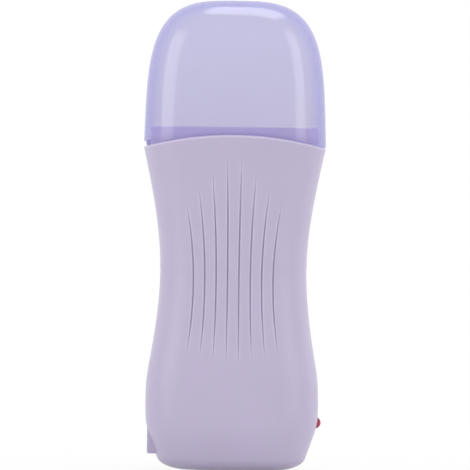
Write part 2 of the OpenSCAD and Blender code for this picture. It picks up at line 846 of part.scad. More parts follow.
function cap_hw0() = rim_w / 2 + cap_proud;
function cap_hd0() = body_hd(rim_top_z) + cap_proud + cap_draft * rim_rise / cap_h;
// Share of its size that the cap keeps at height share s of its dome
function dome_share(s) = pow(1 - pow(s, dome_power), 1 / dome_corner);
function cap_half(base, z, high) =
    let (s = (z - rim_z) / high)
    (base - cap_draft * s) * dome_share(min(max(s, 0), 1));
function notch_at(x, y) = x < 0 && abs(y) < notch_w / 2 ? notch_h : 0;
function cap_rim(p, inset) =
    let (x = p.x * (cap_hw0() - inset), y = p.y * (cap_hd0() - inset),
         z = rim_at(x) + cap_seat_gap + notch_at(x, y),
         high = cap_h - inset)
    [p.x * cap_half(cap_hw0() - inset, z, high), p.y * cap_half(cap_hd0() - inset, z, high), z];
function cap_rings(inset) =
    let (high = cap_h - inset)
    concat([[for (p = plan) cap_rim(p, inset)]],
           [for (k = [1 : dome_steps - 1])
               let (z = rim_z + high * pow(sin(90 * k / dome_steps), 2 / dome_power))
               plan_ring(cap_half(cap_hw0() - inset, z, high),
                         cap_half(cap_hd0() - inset, z, high), z)]);

module cap() {
    outside = cap_rings(0);
    inside = cap_rings(cap_wall);
    last = (dome_steps - 1) * ring_n;
    start = dome_steps * ring_n;
    rim = [for (i = [0 : ring_n - 1])
        let (j = (i + 1) % ring_n)
        each [[i, j, start + j], [i, start + j, start + i]]];
    color([0.80, 0.78, 0.92, 0.5])
        polyhedron(points = concat([for (r = outside) each r], [for (r = inside) each r]),
                   faces = concat(side_faces(dome_steps, ring_n),
                                  end_face(ring_n, last, true),
                                  side_faces(dome_steps, ring_n, start, true),
                                  end_face(ring_n, start + last),
                                  rim));
}

// ---- neck and chamber ----

neck_draft = cap_draft * (neck_top_z - rim_z) / cap_h;
neck_hw = cap_hw0() - neck_draft - cap_wall - neck_gap - bead_h;
neck_hd = cap_hd0() - neck_draft - cap_wall - neck_gap - bead_h;

module neck_outline(grow = 0) {
    polygon([for (i = [0 : 2 * ring_n - 1])
        let (p = plan_point(180 * i / ring_n)) [p.x * (neck_hw + grow), p.y * (neck_hd + grow)]]);
}

module bay_outline(grow = 0) {
    translate([0, bay_y])
        rounded_rect(bay_w + 2 * grow, bay_d + 2 * grow, bay_r + grow);
}

// A band that follows the rim's arch, rise above it
module arch_band(rise, band) {
    translate([0, 0, arch_z])
        rotate([90, 0, 0])
            difference() {
                cylinder(h = 2 * far, r = arch_r + rise + band / 2, center = true, $fn = fine);
                cylinder(h = 3 * far, r = arch_r + rise - band / 2, center = true, $fn = fine);
            }
}

module neck_ring() {
    color(lilac)
        difference() {
            union() {
                translate([0, 0, neck_foot_z])
                    linear_extrude(neck_top_z - neck_foot_z)
                        neck_outline();
                intersection() {
                    translate([0, 0, neck_foot_z])
                        linear_extrude(neck_h + rim_rise)
                            neck_outline(bead_h);
                    arch_band(bead_rise, bead_band);
                }
            }
            translate([0, 0, neck_foot_z - cut])
                linear_extrude(neck_top_z - neck_plate_t - neck_foot_z + cut)
                    neck_outline(-neck_wall);
            translate([0, 0, neck_foot_z - cut])
                linear_extrude(sleeve_top_z - neck_foot_z + cut)
                    bay_outline(sleeve_wall + sleeve_gap);
            translate([0, 0, neck_foot_z])
                linear_extrude(neck_top_z)
                    bay_outline();
        }
}

bay_front_y = bay_y - bay_d / 2;
bay_rear_y = bay_y + bay_d / 2;
sleeve_top_z = neck_top_z - neck_plate_t;
spring_slot_low = spring_bend_z + slot_rise;
spring_slot_high = spring_bend_z + spring_crest + spring_tip + slot_over;

module chamber_sleeve() {
    color(ivory)
        difference() {
            translate([0, 0, bay_floor_z - sleeve_wall])
                linear_extrude(sleeve_top_z - bay_floor_z + sleeve_wall)
                    bay_outline(sleeve_wall);
            translate([0, 0, bay_floor_z])
                linear_extrude(sleeve_top_z)
                    bay_outline();
            block([-plate_w / 2 - plate_gap, bay_front_y - 2 * sleeve_wall, plate_z - plate_gap],
                  [plate_w / 2 + plate_gap, bay_front_y + cut, plate_z + plate_h + plate_gap]);
            block([-window_w / 2, bay_rear_y - cut, window_z - window_h / 2],
                  [window_w / 2, bay_rear_y + 2 * sleeve_wall, window_z + window_h / 2]);
            for (side = [-1, 1]) {
                slot_x = side * spring_x;
                block([slot_x - spring_w / 2 - spring_gap, bay_rear_y - cut, spring_slot_low],
                      [slot_x + spring_w / 2 + spring_gap, bay_rear_y + 2 * sleeve_wall,
                       spring_slot_high]);
                along_y(slot_x, rivet_z, rivet_r, bay_rear_y - cut, bay_rear_y + 2 * sleeve_wall);
            }
        }
}

// ---- heater, stacked forwards from the sleeve's front face ----

flange_y = bay_front_y - sleeve_wall - flange_t;
inner_film_y = flange_y - film_t;
inner_electrode_y = inner_film_y - electrode_t;
stone_y = inner_electrode_y - stone_t;
outer_electrode_y = stone_y - electrode_t;
outer_film_y = outer_electrode_y - film_t;
clamp_y = outer_film_y - clamp_t;
stones_h = 2 * stone_h + stone_gap;
clamp_screw_zs = [stone_z - clamp_screw_off, stone_z + stones_h + clamp_screw_off];
clamp_boss_r = clamp_screw_r + clamp_boss_wall;
rivet_z = spring_bend_z - spring_foot / 2;

module heating_plate() {
    color([0.80, 0.81, 0.82])
        difference() {
            union() {
                block([-plate_w / 2, flange_y + flange_t, plate_z],
                      [plate_w / 2, bay_front_y, plate_z + plate_h]);
                block([-plate_w / 2 - flange_reach, flange_y, plate_z - flange_reach],
                      [plate_w / 2 + flange_reach, flange_y + flange_t,
                       plate_z + plate_h + flange_reach]);
                for (z = clamp_screw_zs)
                    along_y(0, z, clamp_boss_r, outer_film_y, flange_y);
            }
            for (z = clamp_screw_zs)
                along_y(0, z, clamp_screw_r, outer_film_y - cut, flange_y + flange_t);
        }
}

module ptc_stones() {
    color([0.35, 0.34, 0.33])
        for (z = [stone_z, stone_z + stone_h + stone_gap])
            block([-stone_w / 2, stone_y, z], [stone_w / 2, inner_electrode_y, z + stone_h]);
}

// A contact sheet over both stones, with a solder tab below them on one side
module electrode(y, side) {
    color([0.82, 0.68, 0.36]) {
        block([-stone_w / 2, y, stone_z], [stone_w / 2, y + electrode_t, stone_z + stones_h]);
        block([side * tab_x - tab_w / 2, y, stone_z - tab_l],
              [side * tab_x + tab_w / 2, y + electrode_t, stone_z]);
    }
}

module inner_electrode() {
    electrode(inner_electrode_y, -1);
}

module outer_electrode() {
    electrode(outer_electrode_y, 1);
}

module insulating_film() {
    color([0.80, 0.50, 0.15])
        for (y = [inner_film_y, outer_film_y])
            block([-stone_w / 2 - film_edge, y, stone_z - film_edge],
                  [stone_w / 2 + film_edge, y + film_t, stone_z + stones_h + film_edge]);
}

module heater_clamp() {
    end = clamp_head_r + clamp_end;
    color(steel)
        difference() {
            block([-clamp_w / 2, clamp_y, clamp_screw_zs[0] - end],
                  [clamp_w / 2, outer_film_y, clamp_screw_zs[1] + end]);
            for (z = clamp_screw_zs)
                along_y(0, z, clamp_screw_r, clamp_y - cut, outer_film_y + cut);
        }
}

module clamp_screws() {
    color(steel)
        for (z = clamp_screw_zs) {
            along_y(0, z, clamp_screw_r, clamp_y, flange_y + flange_t);
            along_y(0, z, clamp_head_r, clamp_y - clamp_head_h, clamp_y);
        }
}

fuse_lead_y = stone_y + fuse_lead_r;
fuse_lead_x = fuse_l / 2 + fuse_lead_out;

module thermal_fuse() {
    lead_end = fuse_z - fuse_tail;
    color([0.85, 0.84, 0.80])
        along_x(fuse_lead_y, fuse_z, fuse_r, -fuse_l / 2, fuse_l / 2);
    color(steel) {
        along_x(fuse_lead_y, fuse_z, fuse_lead_r, -fuse_lead_x, tab_x);
        translate([-fuse_lead_x, fuse_lead_y, lead_end])
            cylinder(h = fuse_z - lead_end, r = fuse_lead_r, $fn = fine);
        translate([-fuse_lead_x, fuse_lead_y, fuse_z])
            sphere(fuse_lead_r, $fn = fine);
        translate([tab_x, fuse_lead_y, fuse_z])
            cylinder(h = stone_z - tab_l / 2 - fuse_z, r = fuse_lead_r, $fn = fine);
        translate([tab_x, fuse_lead_y, fuse_z])
            sphere(fuse_lead_r, $fn = fine);
    }
}

// ---- cartridge springs ----

spring_y = bay_rear_y + sleeve_wall + spring_gap;

// A strip that leans through its slot in the sleeve to a crest in the bay, and back
module leaf_spring(side) {
    bend = spring_bend_z;
    crest_z = bend + spring_crest;
    crest_y = bay_rear_y - spring_reach;
    face = [[spring_y, bend - spring_foot], [spring_y, bend + spring_rise],
            [crest_y + crest_back, crest_z - crest_half], [crest_y, crest_z],
            [crest_y + crest_back, crest_z + crest_half],
            [bay_rear_y + crest_back, crest_z + spring_tip]];
    back = [for (k = [len(face) - 1 : -1 : 0]) face[k] + [spring_t, 0]];
    color(steel)
        difference() {
            translate([side * spring_x - spring_w / 2, 0, 0])
                rotate([90, 0, 90])
                    linear_extrude(spring_w)
                        polygon(concat(face, back));
            along_y(side * spring_x, rivet_z, rivet_r + spring_gap,
                    spring_y - cut, spring_y + spring_t + cut);
        }
}

module leaf_spring_left() {
    leaf_spring(-1);
}

module leaf_spring_right() {
    leaf_spring(1);
}

rivet_head_y = spring_y + spring_t + spring_gap;
rivet_end_y = rivet_head_y + rivet_head_h;

module spring_rivets() {
    color([0.80, 0.68, 0.38])
        for (side = [-1, 1]) {
            along_y(side * spring_x, rivet_z, rivet_r, bay_rear_y, rivet_head_y);
            along_y(side * spring_x, rivet_z, rivet_head_r, rivet_head_y, rivet_end_y);
        }
}

// ---- level window: a curved slip of clear plastic in the rear shell ----

module window_lens() {
    across = 6;
    end_steps = 5;
    straight_steps = 10;
    r = window_w / 2;
    low = window_z - window_h / 2;
    high = window_z + window_h / 2;
    end_angles = [for (k = [0.5 : end_steps]) 90 * k / end_steps];
    rows = concat(
        [for (a = end_angles) [r * sin(a), low + r * (1 - cos(a))]],
        [for (k = [0 : straight_steps]) [r, low + r + (window_h - 2 * r) * k / straight_steps]],
        [for (k = [end_steps - 1 : -1 : 0])
            [r * sin(end_angles[k]), high - r * (1 - cos(end_angles[k]))]]);
    function loop(row) = concat(
        [for (i = [0 : across]) let (x = row[0] * (1 - 2 * i / across))
            [x, surface_y(x, row[1], window_sink), row[1]]],
        [for (i = [across : -1 : 0]) let (x = row[0] * (1 - 2 * i / across))
            [x, surface_y(x, row[1], shell_wall), row[1]]]);
    color([0.85, 0.85, 0.92, 0.5])
        loft([for (row = rows) loop(row)], band = true);
}

// ---- mains inlet ----

pin_zs = [inlet_z - pin_pitch / 2, inlet_z + pin_pitch / 2];
socket_floor_x = -inlet_face_x + socket_depth;
inlet_back_x = -boss_inner_x + inlet_flange_t;
pin_root_r = pin_r + pin_root_step;
pin_root_x = inlet_back_x + pin_root_l;

module inlet_body() {
    flange_h = inlet_h + 2 * inlet_flange_h;
    flange_d = inlet_d + 2 * inlet_flange_d;
    color([0.16, 0.16, 0.17])
        difference() {
            union() {
                translate([-boss_inner_x, 0, inlet_z])
                    rotate([0, -90, 0])
                        linear_extrude(inlet_face_x - boss_inner_x)
                            rounded_rect(inlet_h, inlet_d, inlet_d / 2 - 0.01);
                block([-boss_inner_x, -flange_d / 2, inlet_z - flange_h / 2],
                      [inlet_back_x, flange_d / 2, inlet_z + flange_h / 2]);
            }
            for (z = pin_zs) {
                along_x(0, z, lobe_r, -boss_x - cut, socket_floor_x);
                along_x(0, z, pin_root_r, socket_floor_x - cut, inlet_back_x + cut);
            }
            block([-boss_x - cut, -lobe_slot / 2, pin_zs[0]], [socket_floor_x, lobe_slot / 2, pin_zs[1]]);
        }
}

module inlet_pins() {
    color([0.78, 0.78, 0.80])
        for (z = pin_zs) {
            along_x(0, z, pin_r, socket_floor_x - pin_l + pin_r, socket_floor_x);
            translate([socket_floor_x - pin_l + pin_r, 0, z])
                sphere(pin_r, $fn = fine);
            along_x(0, z, pin_root_r, socket_floor_x, pin_root_x);
        }
}

terminal_end_x = pin_root_x + terminal_l;

module pin_terminals() {
    color([0.82, 0.68, 0.36])
        for (z = pin_zs)
            block([pin_root_x, -terminal_w / 2, z - terminal_t / 2],
                  [terminal_end_x, terminal_w / 2, z + terminal_t / 2]);
}

// ---- indicator lamp ----

dome_d = lamp_proud - lamp_r;
lamp_back_d = dome_d - lamp_body;
board_d = lamp_back_d - lamp_lead_l;

module led_lamp() {
    lead_off = lamp_lead_pitch / 2;
    color([0.80, 0.10, 0.12]) {
        on_lamp_axis(lamp_back_d)
            cylinder(h = lamp_body, r = lamp_r, $fn = fine);
        on_lamp_axis(dome_d)
            sphere(lamp_r, $fn = fine);
        on_lamp_axis(lamp_back_d)
            cylinder(h = lamp_collar_h, r = lamp_r + lamp_collar_reach, $fn = fine);
    }
    color(steel)
        for (y = [-lead_off, lead_off])
            on_lamp_axis(board_d)
                translate([0, y, 0])
                    cylinder(h = lamp_lead_l, r = lamp_lead_r, $fn = fine);
}

module led_holder() {
    front_d = -shell_wall - holder_gap;
    back_d = lamp_back_d + holder_gap;
    color(ivory)
        difference() {
            on_lamp_axis(back_d)
                cylinder(h = front_d - back_d, r = lamp_r + lamp_gap + holder_wall, $fn = fine);
            on_lamp_axis(lamp_back_d)
                cylinder(h = -lamp_back_d, r = lamp_r + lamp_gap / 2, $fn = fine);
        }
}

module led_board() {
    color([0.20, 0.45, 0.25])
        on_lamp_axis(board_d - board_t)
            translate([-board_h / 2, -board_w / 2, 0])
                cube([board_h, board_w, board_t]);
}

// A small part with two end leads, lying along Y on the back of the board
module axial_part(off, r, l) {
    on_lamp_axis(board_d - board_t - r)
        translate([off, -l / 2, 0])
            rotate([-90, 0, 0])
                cylinder(h = l, r = r, $fn = fine);
}

module led_resistor() {
    color([0.75, 0.62, 0.45])
        axial_part(-board_part_off, resistor_r, resistor_l);
}

module led_diode() {
    color([0.12, 0.12, 0.13])
        axial_part(board_part_off, diode_r, diode_l);
}

// ---- wiring: each route's points are chosen by hand ----

live_route = [[terminal_end_x, -1.1, pin_zs[1]], [-14.5, -1.8, 21.7], [-9.5, -5.5, 23.5],
    [-6.5, -11.5, 28], [-6.8, -17, 34.5], [-7.8, flange_y - wire_off, 42],
    [-fuse_lead_x, fuse_lead_y, fuse_z - fuse_tail]];
neutral_route = [[terminal_end_x, -1.1, pin_zs[0]], [-15.6, -2.4, 14.2], [-13.2, -7, 19],
    [-11, -12.5, 25.5], [-11.3, -17.6, 34], [-13, flange_y - wire_off, 42],
    [-14.4, flange_y - wire_off, 51], [-12.5, flange_y - 2 * wire_r, 58],
    [-tab_x, inner_electrode_y - wire_r, stone_z - tab_l / 2]];
lamp_live_route = [[terminal_end_x, 1.4, pin_zs[1]], [-14, 2.6, 21.5], [-4, 4, 21],
    [8, 3.8, 22], [16, 3.6, 24], lamp_point(-1, 3.6, board_d - board_t)];
lamp_neutral_route = [[terminal_end_x, 1.4, pin_zs[0]], [-15, 2.8, 14.5], [-8, 4.5, 18],
    [4, 4.8, 18.5], [15, 3.8, 21], lamp_point(1, 3.6, board_d - board_t)];

// A smooth curve through a route's points
function curve_point(a, b, c, d, t) =
    0.5 * (2 * b + (c - a) * t + (2 * a - 5 * b + 4 * c - d) * t * t
           + (3 * b - a - 3 * c + d) * t * t * t);
function smooth_route(route, steps = 4) =
    let (n = len(route) - 1)
    concat([for (k = [0 : n - 1]) for (s = [0 : steps - 1])
        curve_point(route[max(k - 1, 0)], route[k], route[k + 1], route[min(k + 2, n)], s / steps)],
        [route[n]]);

// A wire that leaves its first point and reaches its last one square to the faces it meets
module wire(route, r, leave, arrive) {
    line = smooth_route(route);
    n = len(line) - 1;
    sides = 8;
    function ring(k) =
        let (ahead = k == 0 ? leave : k == n ? arrive : line[k + 1] - line[k - 1],
             along = ahead / norm(ahead),
             level = cross([0.3, 0.1, 1], along),
             u = level / norm(level),
             v = cross(along, u))
        [for (i = [0 : sides - 1])
            line[k] + r * (u * cos(360 * i / sides) + v * sin(360 * i / sides))];
    loft([for (k = [0 : n]) ring(k)]);
}

module live_wire() {
    color([0.45, 0.28, 0.16])
        wire(live_route, wire_r, [1, 0, 0], [0, 0, 1]);
}

module neutral_wire() {
    color([0.20, 0.35, 0.70])
        wire(neutral_route, wire_r, [1, 0, 0], [1, 0, 1]);
}

module led_wires() {
    color([0.70, 0.15, 0.15])
        wire(lamp_live_route, lamp_wire_r, [1, 0, 0], lamp_axis);
    color([0.15, 0.15, 0.16])
        wire(lamp_neutral_route, lamp_wire_r, [1, 0, 0], lamp_axis);
}

cap();
front_shell();
rear_shell();
neck_ring();
chamber_sleeve();
heating_plate();
ptc_stones();
inner_electrode();
outer_electrode();
insulating_film();
heater_clamp();
clamp_screws();
thermal_fuse();
leaf_spring_left();
leaf_spring_right();
spring_rivets();
window_lens();
inlet_body();
inlet_pins();
pin_terminals();
led_lamp();
led_holder();
led_board();
led_resistor();
led_diode();
live_wire();
neutral_wire();
led_wires();
casing_screws();
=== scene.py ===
"""Looks of the wax heater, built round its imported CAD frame. Sizes are in millimetres until a
mesh is made, and the frame is the CAD model's: the front faces -Y and the base is at 0."""

import math

import bmesh
import bpy
import numpy as np
from mathutils import Euler, Matrix, Vector


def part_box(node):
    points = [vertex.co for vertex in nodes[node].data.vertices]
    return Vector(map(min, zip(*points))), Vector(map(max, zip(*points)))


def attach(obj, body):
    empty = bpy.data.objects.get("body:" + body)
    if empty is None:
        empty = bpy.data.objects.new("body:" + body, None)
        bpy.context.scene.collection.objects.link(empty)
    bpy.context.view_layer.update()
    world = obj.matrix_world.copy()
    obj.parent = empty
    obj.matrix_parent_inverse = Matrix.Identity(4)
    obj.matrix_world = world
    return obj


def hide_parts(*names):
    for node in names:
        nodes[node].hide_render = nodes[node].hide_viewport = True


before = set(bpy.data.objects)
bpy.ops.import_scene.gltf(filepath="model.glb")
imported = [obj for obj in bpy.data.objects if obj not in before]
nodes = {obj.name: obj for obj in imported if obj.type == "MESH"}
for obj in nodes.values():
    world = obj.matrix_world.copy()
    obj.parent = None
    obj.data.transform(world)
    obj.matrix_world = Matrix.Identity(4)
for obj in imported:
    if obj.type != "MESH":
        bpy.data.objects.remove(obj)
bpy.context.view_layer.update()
MM = 0.001
QUARTER = math.pi / 2

# ---- camera: level with the middle of the heater, turned a little about its own axis ----

PHOTO_PIXELS, PIXELS_PER_MM = 470, 2.403
FRAME_MM = PHOTO_PIXELS / PIXELS_PER_MM
SENSOR = 36
CAMERA_FAR = 4000
CAMERA_LIFT = math.radians(1.0)
CAMERA_ROLL = math.radians(0.74)
AIM = Vector((0.5, 0, 97.55))
NEAR_CLIP = 10

camera_data = bpy.data.cameras.new("camera")
camera_data.sensor_width = SENSOR
camera_data.lens = SENSOR * CAMERA_FAR / FRAME_MM
camera_data.clip_start = NEAR_CLIP * MM
camera = bpy.data.objects.new("camera", camera_data)
bpy.context.scene.collection.objects.link(camera)
back = Vector((0, -math.cos(CAMERA_LIFT), math.sin(CAMERA_LIFT)))
camera.location = (AIM + back * CAMERA_FAR) * MM
turn = back.to_track_quat("Z", "Y").to_matrix().to_4x4()
roll = Euler((0, 0, CAMERA_ROLL)).to_matrix().to_4x4()
camera.rotation_euler = (turn @ roll).to_euler()
bpy.context.scene.camera = camera

# ---- the body's outline, as in the CAD source ----

RIM_W, RIM_D, RIM_Z, RIM_RISE = 75.7, 53.6, 134, 5.3
WAIST_W, WAIST_D, WAIST_Z = 60.9, 49.8, 84
BULGE_W, BULGE_D, BULGE_Z = 72.3, 52.8, 34
FOOT_W, FOOT_D, FOOT_SLOPE = 58.2, 41.6, 0.362
ROUND_W, ROUND_D, ROUND_H = 10, 6.5, 4.6
UPPER_SOFT, LOWER_SOFT = 7.8, 16.8
BULGE_OVER, BULGE_BLEND, FOOT_BLEND = 0.85, 1.2, 1
WALL, FLOOR = 1.8, 2
# Half the gap between the two shells
SEAM = 0.1
# Power of the plan's superellipse
PLAN = 3
RIM_TOP = RIM_Z + RIM_RISE
ARCH_R = ((RIM_W / 2) ** 2 + RIM_RISE**2) / (2 * RIM_RISE)
ARCH_Z = RIM_TOP - ARCH_R


def soft_min(a, b, blend):
    return (a + b - np.sqrt((a - b) ** 2 + blend * blend)) / 2


def flare(d, rise, run, soft):
    """A hyperbola from 0: level at first, and rise high at a distance of run."""
    gain = math.sqrt((rise + soft) ** 2 - soft * soft) / run
    return np.sqrt(soft * soft + (gain * d) ** 2) - soft


def half_size(z, waist, rim, bulge, foot):
    above = waist + flare(z - WAIST_Z, rim - waist, RIM_Z - WAIST_Z, UPPER_SOFT)
    below = waist + flare(
        WAIST_Z - z, bulge - waist + BULGE_OVER, WAIST_Z - BULGE_Z, LOWER_SOFT
    )
    below = soft_min(
        soft_min(below, bulge, BULGE_BLEND), foot + z * FOOT_SLOPE, FOOT_BLEND
    )
    return np.where(z > WAIST_Z, above, below)


def base_inset(z, run):
    """How far the rounded bottom edge lies inside the body's outline."""
    share = 1 - np.clip(z, 0, ROUND_H) / ROUND_H
    return run * (1 - np.sqrt(1 - share * share))


def body_hw(z):
    z = np.asarray(z, float)
    size = half_size(z, WAIST_W / 2, RIM_W / 2, BULGE_W / 2, FOOT_W / 2)
    return size - base_inset(z, ROUND_W)


def body_hd(z):
    z = np.asarray(z, float)
    size = half_size(z, WAIST_D / 2, RIM_D / 2, BULGE_D / 2, FOOT_D / 2)
    return size - base_inset(z, ROUND_D)


def rim_at(x):
    """Height of the rim's arch at x."""
    return ARCH_Z + np.sqrt(ARCH_R**2 - np.minimum(np.abs(x), ARCH_R) ** 2)


def depth_at(x, hw, hd):
    """Half the depth of a section of half sizes hw and hd at x."""
    share = np.clip(np.abs(x) / hw, 0, 1)
    return hd * (1 - share**PLAN) ** (1 / PLAN)


def surface_y(x, z):
    return float(depth_at(np.array(x), body_hw(z), body_hd(z)))


def plan_xy(a):
    """The plan's points at angles a, for half sizes of 1."""
    c, s = np.cos(a), np.sin(a)
    size = (np.abs(c) ** PLAN + np.abs(s) ** PLAN) ** (-1 / PLAN)
    return c * size, s * size


# ---- meshes ----

# Degrees above which an edge stays sharp: as a rule, on rods, on the cap
SHARP, ROD_SHARP, CAP_SHARP = 32, 28, 40
# Points closer than this are joined, and edges shorter than this are dropped
WELD, SLIVER = 0.004, 0.002


def smooth(mesh, sharp):
    mesh.polygons.foreach_set("use_smooth", [True] * len(mesh.polygons))
    mesh.set_sharp_from_angle(angle=math.radians(sharp))


def mesh_object(name, verts, faces, sharp=SHARP):
    """A smooth object from millimetre points. Edges that turn over sharp degrees stay sharp."""
    mesh = bpy.data.meshes.new(name)
    mesh.from_pydata([tuple(v) for v in np.asarray(verts, float) * MM], [], faces)
    mesh.validate()
    bm = bmesh.new()
    bm.from_mesh(mesh)
    bmesh.ops.recalc_face_normals(bm, faces=bm.faces)
    bm.to_mesh(mesh)
    bm.free()
    smooth(mesh, sharp)
    obj = bpy.data.objects.new(name, mesh)
    bpy.context.scene.collection.objects.link(obj)
    return obj


def ring_faces(rings, n):
    """The faces between neighbouring rings of n points."""
    return [
        (k * n + i, k * n + (i + 1) % n, (k + 1) * n + (i + 1) % n, (k + 1) * n + i)
        for k in range(rings - 1)
        for i in range(n)
    ]


def loft(name, loops, sharp=SHARP):
    """A closed solid through closed loops of points."""
    loops = [np.asarray(loop, float) for loop in loops]
    n, last = len(loops[0]), len(loops) - 1
    ends = [tuple(range(n)), tuple(last * n + i for i in range(n))]
    return mesh_object(name, np.concatenate(loops), ring_faces(len(loops), n) + ends, sharp)


def combine(target, tools, how):
    """Joins or cuts target with each tool, then drops the tools."""
    for tool in tools:
        change = target.modifiers.new("change", "BOOLEAN")
        change.object = tool
        change.operation = how
        change.solver = "MANIFOLD"
    bpy.context.view_layer.update()
    graph = bpy.context.evaluated_depsgraph_get()
    mesh = bpy.data.meshes.new_from_object(target.evaluated_get(graph))
    mesh.name = target.name
    old = target.data
    target.modifiers.clear()
    target.data = mesh
    bpy.data.meshes.remove(old)
    for tool in tools:
        bpy.data.objects.remove(tool)


def finish_mesh(obj):
    """Cleans up what cutting and joining leave."""
    bm = bmesh.new()
    bm.from_mesh(obj.data)
    bmesh.ops.remove_doubles(bm, verts=bm.verts, dist=WELD * MM)
    bmesh.ops.dissolve_degenerate(bm, edges=bm.edges, dist=SLIVER * MM)
    bm.to_mesh(obj.data)
    bm.free()
    obj.data.materials.clear()
    obj.data.polygons.foreach_set("material_index", [0] * len(obj.data.polygons))
    smooth(obj.data, SHARP)


def circle(r, n):
    a = np.arange(n) * 2 * math.pi / n
    return np.stack([r * np.cos(a), r * np.sin(a)], 1)


def rod(name, stations, n=48):
    """A round solid along +Z: stations are (height, radius)."""
    loops = [np.c_[circle(r, n), np.full(n, h)] for h, r in stations]
    return loft(name, loops, ROD_SHARP)


def place(obj, columns, at):
    """Turns an object's X, Y and Z to the three given directions and moves it, in its mesh."""
    co = np.array([v.co for v in obj.data.vertices]) @ np.array(columns, float)
    co = co + np.array(at, float) * MM
    obj.data.vertices.foreach_set("co", co.ravel().astype(np.float32))
    obj.data.update()
    return obj


ALONG_Y = ((1, 0, 0), (0, 0, -1), (0, 1, 0))

# ---- the grip grooves ----

# Grooves on each side of the middle, and the distance between them at the waist
GROOVES, PITCH = 4, 4.7
GROOVE_TOP, GROOVE_TOP_STEP, GROOVE_FOOT, GROOVE_FOOT_STEP = 128.5, 6.2, 45, 1.3
BOW, BOW_POWER, BOW_MID, BOW_SPAN = 7.5, 1.3, 78, 50
CORE_HALF, CORE_DEEP, CORE_POWER = 0.42, 0.46, 1.2
SHOULDER_HALF, SHOULDER_DEEP = 0.95, 0.1
# How a groove fades out towards its ends, and the least share of its width there
FADE_POWER, FADE_LEAST = 0.4, 0.4
OUTER_GROOVE = (GROOVES - 0.5) * PITCH
GRIP_HALF = OUTER_GROOVE + 2.2
GRIP_LOW = 42
# The mesh's columns lie this far to both sides of each groove's middle
COLUMNS_BESIDE = (0, 0.1, 0.2, 0.3, 0.38, 0.46, 0.6, 0.8, 1.05, 1.5, 2.35)
COLUMN_SLACK, COLUMN_GAP = 0.001, 0.02
# Halvings in which waist_x closes in on its answer
HALVINGS = 26


def bowed(x0, z):
    """Where a line that is x0 from the middle at the waist lies at height z."""
    low = np.maximum(z, GRIP_LOW)
    size = np.abs(x0)
    x = size + BOW * (size / OUTER_GROOVE) ** BOW_POWER * ((low - BOW_MID) / BOW_SPAN) ** 2
    return np.sign(x0) * x * np.where(z < GRIP_LOW, body_hw(z) / body_hw(GRIP_LOW), 1)


def waist_x(x, z):
    """The waist place of the bowed line through a point: what bowed() turns back."""
    low, high = np.zeros(np.shape(x)), np.full(np.shape(x), 2.0 * GRIP_HALF)
    for _ in range(HALVINGS):
        mid = (low + high) / 2
        inside = bowed(mid, z) < np.abs(x)
        low, high = np.where(inside, mid, low), np.where(inside, high, mid)
    return (low + high) / 2


def groove_marks(x0, z):
    """How deep each point lies in a groove: near its line, and on its shoulders, from 0 to 1."""
    core = np.zeros(np.broadcast(x0, z).shape)
    shoulder = core.copy()
    for i in range(GROOVES):
        low = GROOVE_FOOT + i * GROOVE_FOOT_STEP
        high = GROOVE_TOP - i * GROOVE_TOP_STEP
        t = np.clip((z - low) / (high - low), 0, 1)
        fade = np.sin(math.pi * t) ** FADE_POWER
        off = np.abs(np.abs(x0) - (i + 0.5) * PITCH)
        core_half = CORE_HALF * np.maximum(fade, FADE_LEAST)
        core += fade * np.clip(1 - (off / core_half) ** 2, 0, 1) ** CORE_POWER
        shoulder += fade * np.clip(1 - (off / SHOULDER_HALF) ** 2, 0, 1) ** 2
    return core, shoulder


def groove_depth(x0, z):
    core, shoulder = groove_marks(x0, z)
    return CORE_DEEP * core + SHOULDER_DEEP * shoulder


def grip_columns():
    """Where the columns of the mesh's grooved part cross the waist."""
    xs = set()
    for i in range(GROOVES):
        for d in COLUMNS_BESIDE:
            xs |= {round((i + 0.5) * PITCH + d, 3), round((i + 0.5) * PITCH - d, 3)}
    xs = sorted(x for x in xs if -COLUMN_SLACK <= x <= GRIP_HALF)
    xs = [x for k, x in enumerate(xs) if k == 0 or x - xs[k - 1] > COLUMN_GAP]
    return [-x for x in xs[::-1] if x > 0] + xs


# ---- the two casing shells ----

# Radius of the seam's outer edges, and of the rim's outer edge
EDGE, LIP = 0.35, 0.5
# Rows of the wall: on the rounded bottom edge, then (from, to, step), then up to the rim's arch
FOOT_ROWS, FOOT_ROW_POWER = 8, 1.6
ROW_RUNS = ((6, 40, 1.7), (40, 62, 0.8), (62, 100, 1.6), (100, 120.5, 0.9))
ARCH_ROWS, LIP_ROWS = 22, 6
# Columns of the wall from the grooved part to the seam, and round the seam's edge
SIDE_COLUMNS, EDGE_COLUMNS = 26, 5
# Rounds in which a point's place and the height there are fitted to each other
PASSES = 4
# Height over which the inside comes down from the floor to the wall's own rows
FLOOR_RUN = 12


def row_heights():
    rows = list(np.linspace(0, 1, FOOT_ROWS) ** FOOT_ROW_POWER * ROUND_H)
    for run in ROW_RUNS:
        rows += list(np.arange(*run))
    return rows


def row_level(z0, t, lift, lip_down):
    """A row's height as a function of x: level where t is None, or t of the way from z0 to the
    rim's arch."""
    if t is None:
        return lambda x: np.full(np.shape(x), float(z0 + lift))
    return lambda x: z0 + (rim_at(x) - lip_down - z0) * t


